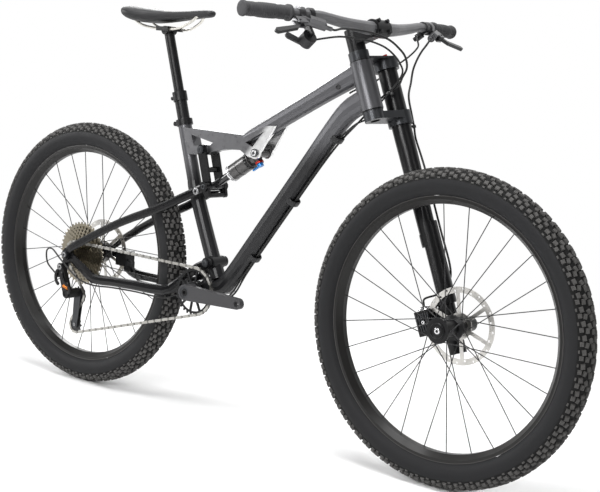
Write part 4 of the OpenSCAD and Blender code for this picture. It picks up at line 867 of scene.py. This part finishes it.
crank_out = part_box("crank_arms")[0].y / MM
fitting("crank_bolts", [socket_bolt(vec(bottom[0], crank_out + 4, bottom[2]), RIGHT, 10.5, 3.2),
                        socket_bolt(vec(bottom[0], -crank_out - 4, bottom[2]), LEFT, 10.5, 3.2)], "black", "crank")
hub_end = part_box("fork_inner_leg")[0].y / MM
fitting("hub_bolt", [socket_bolt(vec(front_axle[0], hub_end, front_axle[2]), RIGHT, 7.2, 1.8)],
        "silver", "fork_lower")
fitting("hub_ring", [band(vec(front_axle[0], hub_end + 1.0, front_axle[2]), RIGHT, 7.6, 12.2, 2.0)], "plastic",
        "fork_lower")


# Chain: plates, rollers and pins set out along the loop of the solid model

CHAIN_Y, PITCH = -52.0, 12.7
PLATE_END, PLATE_WAIST, ROLLER_R, PIN_R = 3.9, 2.9, 3.8, 1.9
RUN_CLEAR = 32


def pitch_radius(teeth):
    """Pitch circle of a toothed wheel."""
    return PITCH / (2 * math.sin(math.pi / teeth))


guide_at = rear_axle + vec(25, 0, -111)
tension_at = rear_axle + vec(18, 0, -195)
CHAIN_WHEELS = [(rear_axle, -pitch_radius(17)), (bottom, -pitch_radius(30)), (tension_at, -pitch_radius(11)),
                (guide_at, pitch_radius(11))]


def chain_route():
    """Loop of the chain in the XZ plane: arcs on the four wheels joined by their common tangents. A wheel's radius
    is negative where the chain turns clockwise round it."""
    def run_way(i):
        (p, r), (q, u) = CHAIN_WHEELS[i % 4], CHAIN_WHEELS[(i + 1) % 4]
        d = q - p
        return math.atan2(d[2], d[0]) - math.asin((u - r) / np.linalg.norm(d))

    pts = []
    for i, (at, r) in enumerate(CHAIN_WHEELS):
        turn = run_way(i) - run_way(i + 3)
        turn = turn % (2 * math.pi) if r > 0 else -((-turn) % (2 * math.pi))
        way = run_way(i + 3) + turn * np.linspace(0, 1, 40)
        pts.append(np.stack([at[0] + r * np.sin(way), at[2] - r * np.cos(way)], -1))
    return np.vstack(pts + [pts[0][:1]])


def prism(outline, low, high):
    """Points of upright prisms: each outline of a row at two heights along Y."""
    a = np.stack([outline[..., 0], np.broadcast_to(low, outline.shape[:-1]), outline[..., 1]], -1)
    b = np.stack([outline[..., 0], np.broadcast_to(high, outline.shape[:-1]), outline[..., 1]], -1)
    return np.concatenate([a, b], 1)


def prism_faces(count, sides):
    """Side quads and two end faces for each of several prisms."""
    k = np.arange(sides)
    n = (k + 1) % sides
    quads = np.stack([k, n, n + sides, k + sides], -1)
    start = (np.arange(count) * 2 * sides)[:, None, None]
    faces = (quads[None] + start).reshape(-1, 4).tolist()
    faces += (k[None, ::-1] + start[:, :, 0]).tolist() + (k[None] + sides + start[:, :, 0]).tolist()
    return faces


def chain_piece():
    """Links between pins one pitch apart: a plate is two round ends joined by a waist, outer and inner links take
    turns, rollers sit on the straight runs, and each pin shows as a round end at both sides. The marks give each face
    its finish, nought for outer plates and pins and one for inner plates and rollers."""
    loop = chain_route()
    step = np.linalg.norm(np.diff(loop, axis=0), axis=1)
    run = np.concatenate([[0], np.cumsum(step)])
    count = 2 * int(round(run[-1] / PITCH / 2))
    at = np.arange(count + 1) * run[-1] / count
    pin = np.stack([np.interp(at, run, loop[:, k]) for k in (0, 1)], -1)
    straight = np.where(step > 30)[0]
    bare = ((at[:-1, None] >= run[straight] + RUN_CLEAR) & (at[:-1, None] <= run[straight + 1] - RUN_CLEAR)).any(1)
    a, b = pin[:-1], pin[1:]
    way = (b - a) / np.linalg.norm(b - a, axis=1)[:, None]
    side = np.stack([-way[:, 1], way[:, 0]], -1)
    half = np.radians(np.array([-90, -45, 0, 45, 90]))
    end = PLATE_END * (np.cos(half)[None, :, None] * way[:, None] + np.sin(half)[None, :, None] * side[:, None])
    middle = ((a + b) / 2)[:, None]
    waist = PLATE_WAIST * side[:, None]
    plate = np.concatenate([b[:, None] + end, middle + waist, a[:, None] - end, middle - waist], 1)
    parts = []
    for links, near, far in ((plate[::2], 2.0, 2.65), (plate[1::2], 1.3, 1.95)):
        for low, high in ((CHAIN_Y - far, CHAIN_Y - near), (CHAIN_Y + near, CHAIN_Y + far)):
            parts.append((prism(links[:, ::-1], low, high).reshape(-1, 3), prism_faces(len(links), plate.shape[1])))
    turn = np.linspace(0, 2 * math.pi, 8, endpoint=False)
    circle = np.stack([np.cos(turn), -np.sin(turn)], -1)
    roller = a[bare][:, None] + ROLLER_R * circle[None]
    parts.append((prism(roller, CHAIN_Y - 1.2, CHAIN_Y + 1.2).reshape(-1, 3), prism_faces(len(roller), 8)))
    pins = a[:, None] + PIN_R * circle[None]
    for low, high in ((CHAIN_Y - 2.95, CHAIN_Y - 1.3), (CHAIN_Y + 1.3, CHAIN_Y + 2.95)):
        parts.append((prism(pins, low, high).reshape(-1, 3), prism_faces(count, 8)))
    kind = np.repeat([0, 0, 1, 1, 1, 0, 0], [len(f) for _, f in parts])
    return (*joined(parts), kind)


pts, faces, kind = chain_piece()
chain = mesh_piece("chain_links", pts, faces, "chain", smooth=False)
chain.data.materials.append(MATS["link"])
chain.data.polygons.foreach_set("material_index", kind.astype(np.int32))
bend(chain)
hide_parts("chain")

# Derailleur: bolts, outer link and sprung barrel; its bolts include the pulleys' and the end of the rear axle

hanger = rear_axle + vec(-6, 0, -34)
knuckle = guide_at + vec(-3, 0, 7)
axle_end = vec(rear_axle[0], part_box("rear_axle")[0].y / MM, rear_axle[2])
fitting("derailleur_bolts", [socket_bolt(hanger + vec(0, -98, 0), RIGHT, 7.2, 2.2),
                             socket_bolt(hanger + vec(-15.5, -95, -25.5), RIGHT, 3.6, 1.6),
                             socket_bolt(knuckle + vec(2, -97, 28), RIGHT, 2.8, 1.4),
                             socket_bolt(guide_at + vec(0, -58, 0), RIGHT, 4.4, 1.6),
                             socket_bolt(tension_at + vec(0, -58, 0), RIGHT, 4.4, 1.6),
                             socket_bolt(axle_end, RIGHT, 7.5, 2.2)], "cap", "swingarm")
outer_link = [hanger + vec(9, -98.5, -12), hanger + vec(17, -99.5, -34), knuckle + vec(15, -99.5, 16),
              knuckle + vec(10, -98.5, 2)]
stop_arm = [hanger + vec(-8, -98, -8), hanger + vec(-15, -98, -24), hanger + vec(-13, -97.5, -40),
            hanger + vec(-2, -97.5, -50)]
fitting("derailleur_link", [strap(outer_link, 4.2, 1.8, vec(0.9, 0, 0.4)),
                            band(knuckle + vec(0, -97.5, 0), RIGHT, 8.2, 12.2, 3.4, ribs=16),
                            strap(stop_arm, 4.6, 2.4, vec(0.9, 0, 0.2))], "black", "swingarm")
barrel = vec(0.97, 0, -0.24)
fitting("derailleur_barrel", [band(knuckle + vec(-2 + 4.5 * k, -98, 19.5 - 1.1 * k), barrel, 2.0, 5.2, 3.6)
                              for k in range(-1, 3)], "orange", "swingarm")

# Brake calipers: cooling fins, pad bolts and the bracket at the front

rotor_y = (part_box("front_rotor")[0].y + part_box("front_rotor")[1].y) / 2 / MM
FINS = 6
front_fins = [[in_steer(x, rotor_y - y, z) for y, z in ((14.6, -520), (15.4, -498), (14.6, -477))]
              for x in -53 + 6.5 * np.arange(FINS)]
rear_fins = [[rear_axle + vec(x, y, z) for y, z in ((74, -23), (74.8, -7), (74, 9))]
             for x in 70 + 6.4 * np.arange(FINS)]
bracket = [in_steer(-47, rotor_y - 8, -469.4), in_steer(-30, rotor_y - 4, -466), in_steer(-14, rotor_y + 8, -468),
           in_steer(-8, rotor_y + 13, -471)]
fitting("front_caliper_fins", [strap(path, 1.7, 2.4, steer_fwd) for path in front_fins], "dark", "fork_lower")
fitting("front_bracket", [strap(bracket, 5.5, 2.0, steer_up + 0.4 * LEFT),
                          socket_bolt(in_steer(-37, rotor_y - 15, -498), RIGHT, 4.6, 3.2)], "silver", "fork_lower")
fitting("rear_caliper_fins", [strap(path, 1.7, 2.2, vec(1, 0, 0)) for path in rear_fins], "dark", "swingarm")

# Clip that holds the front hose to the leg

clip = in_steer(leg_lead + 15.5, leg_side + 29.5, -46)
fitting("leg_clip", [band(clip, steer_up, 2.55, 4.8, 7, sides=24),
                     strap([clip + 3 * steer_fwd - vec(0, 3, 0), clip - vec(0, 7.5, 0) + 2 * steer_fwd,
                            clip - vec(0, 12, 0) - 1 * steer_fwd], 3, 1.6, steer_up)], "plastic", "steering")


# Stage and light

def make_stage():
    """A pale floor whose far part goes over to the white of the background."""
    n = 24
    side = np.linspace(-9, 9, n)
    gx, gy = np.meshgrid(side, side, indexing="ij")
    me = bpy.data.meshes.new("floor")
    me.from_pydata(np.stack([gx, gy, np.zeros_like(gx)], -1).reshape(-1, 3).tolist(), [], grid_faces(n, n, False))
    floor = bpy.data.objects.new("floor", me)
    scene.collection.objects.link(floor)
    m = bpy.data.materials.new("pale_floor")
    m.use_nodes = True
    t = m.node_tree
    p = t.nodes["Principled BSDF"]
    p.inputs["Base Color"].default_value = (0.93, 0.93, 0.93, 1)
    p.inputs["Roughness"].default_value = 0.9
    p.inputs["Specular IOR Level"].default_value = 0.0
    out = t.nodes["Material Output"]
    coord = t.nodes.new("ShaderNodeTexCoord")
    length = t.nodes.new("ShaderNodeVectorMath")
    length.operation = "LENGTH"
    t.links.new(coord.outputs["Object"], length.inputs[0])
    path = t.nodes.new("ShaderNodeLightPath")
    seen = math_node(t, "MAXIMUM", math_node(t, "MAXIMUM", path.outputs["Is Camera Ray"],
                                             path.outputs["Is Glossy Ray"]), path.outputs["Is Transmission Ray"])
    share = math_node(t, "MULTIPLY", seen, ramp_over(t, length.outputs["Value"], 0.9, 2.2))
    glow = t.nodes.new("ShaderNodeEmission")
    mix = t.nodes.new("ShaderNodeMixShader")
    t.links.new(share, mix.inputs[0])
    t.links.new(p.outputs[0], mix.inputs[1])
    t.links.new(glow.outputs[0], mix.inputs[2])
    t.links.new(mix.outputs[0], out.inputs["Surface"])
    me.materials.append(m)


def make_world():
    """White where it is seen. What is behind the bike shows as white in polished parts too, and the side that the
    camera stands on is a dimmer room."""
    world = bpy.data.worlds.new("studio")
    scene.world = world
    world.use_nodes = True
    t = world.node_tree
    room = t.nodes["Background"]
    room.inputs["Color"].default_value = (1, 1, 1, 1)
    room.inputs["Strength"].default_value = 0.09
    white = t.nodes.new("ShaderNodeBackground")
    white.inputs["Color"].default_value = (1, 1, 1, 1)
    coord = t.nodes.new("ShaderNodeTexCoord")
    split = t.nodes.new("ShaderNodeSeparateXYZ")
    t.links.new(coord.outputs["Generated"], split.inputs[0])
    behind = math_node(t, "SUBTRACT", math_node(t, "MULTIPLY", split.outputs["Y"], 0.8),
                       math_node(t, "MULTIPLY", split.outputs["X"], 0.6))
    path = t.nodes.new("ShaderNodeLightPath")
    mirrored = math_node(t, "MAXIMUM", path.outputs["Is Glossy Ray"], path.outputs["Is Transmission Ray"])
    share = math_node(t, "MAXIMUM", path.outputs["Is Camera Ray"],
                      math_node(t, "MULTIPLY", mirrored, ramp_over(t, behind, -0.1, 0.5)))
    mix = t.nodes.new("ShaderNodeMixShader")
    t.links.new(share, mix.inputs[0])
    t.links.new(room.outputs[0], mix.inputs[1])
    t.links.new(white.outputs[0], mix.inputs[2])
    t.links.new(mix.outputs[0], t.nodes["World Output"].inputs["Surface"])


def lamp(name, place, aim, size, power):
    """A square soft lamp that faces its aim."""
    data = bpy.data.lights.new(name, "AREA")
    data.shape = "RECTANGLE"
    data.size, data.size_y = size
    data.energy = power
    obj = bpy.data.objects.new(name, data)
    scene.collection.objects.link(obj)
    back = vec(*place) - vec(*aim)
    back /= np.linalg.norm(back)
    right = np.cross(vec(0, 0, 1), back)
    right = right / np.linalg.norm(right) if np.linalg.norm(right) > 1e-6 else vec(1, 0, 0)
    up = np.cross(back, right)
    obj.matrix_world = placed(right, up, back, vec(*place))


make_stage()
make_world()
lamp("top_box", (0.2, -0.4, 3.4), (0, 0, 0.4), (2.6, 2.0), 125)
lamp("key_box", (0.6, -3.4, 2.0), (0, 0, 0.5), (1.8, 1.2), 95)
lamp("front_box", (3.6, -0.6, 1.6), (0.3, 0, 0.5), (1.2, 1.6), 18)
lamp("rim_box", (-2.6, 2.4, 2.2), (0, 0, 0.5), (1.6, 1.2), 60)
lamp("rear_box", (-3.0, -1.7, 1.5), (-0.1, 0, 0.6), (0.7, 1.6), 60)
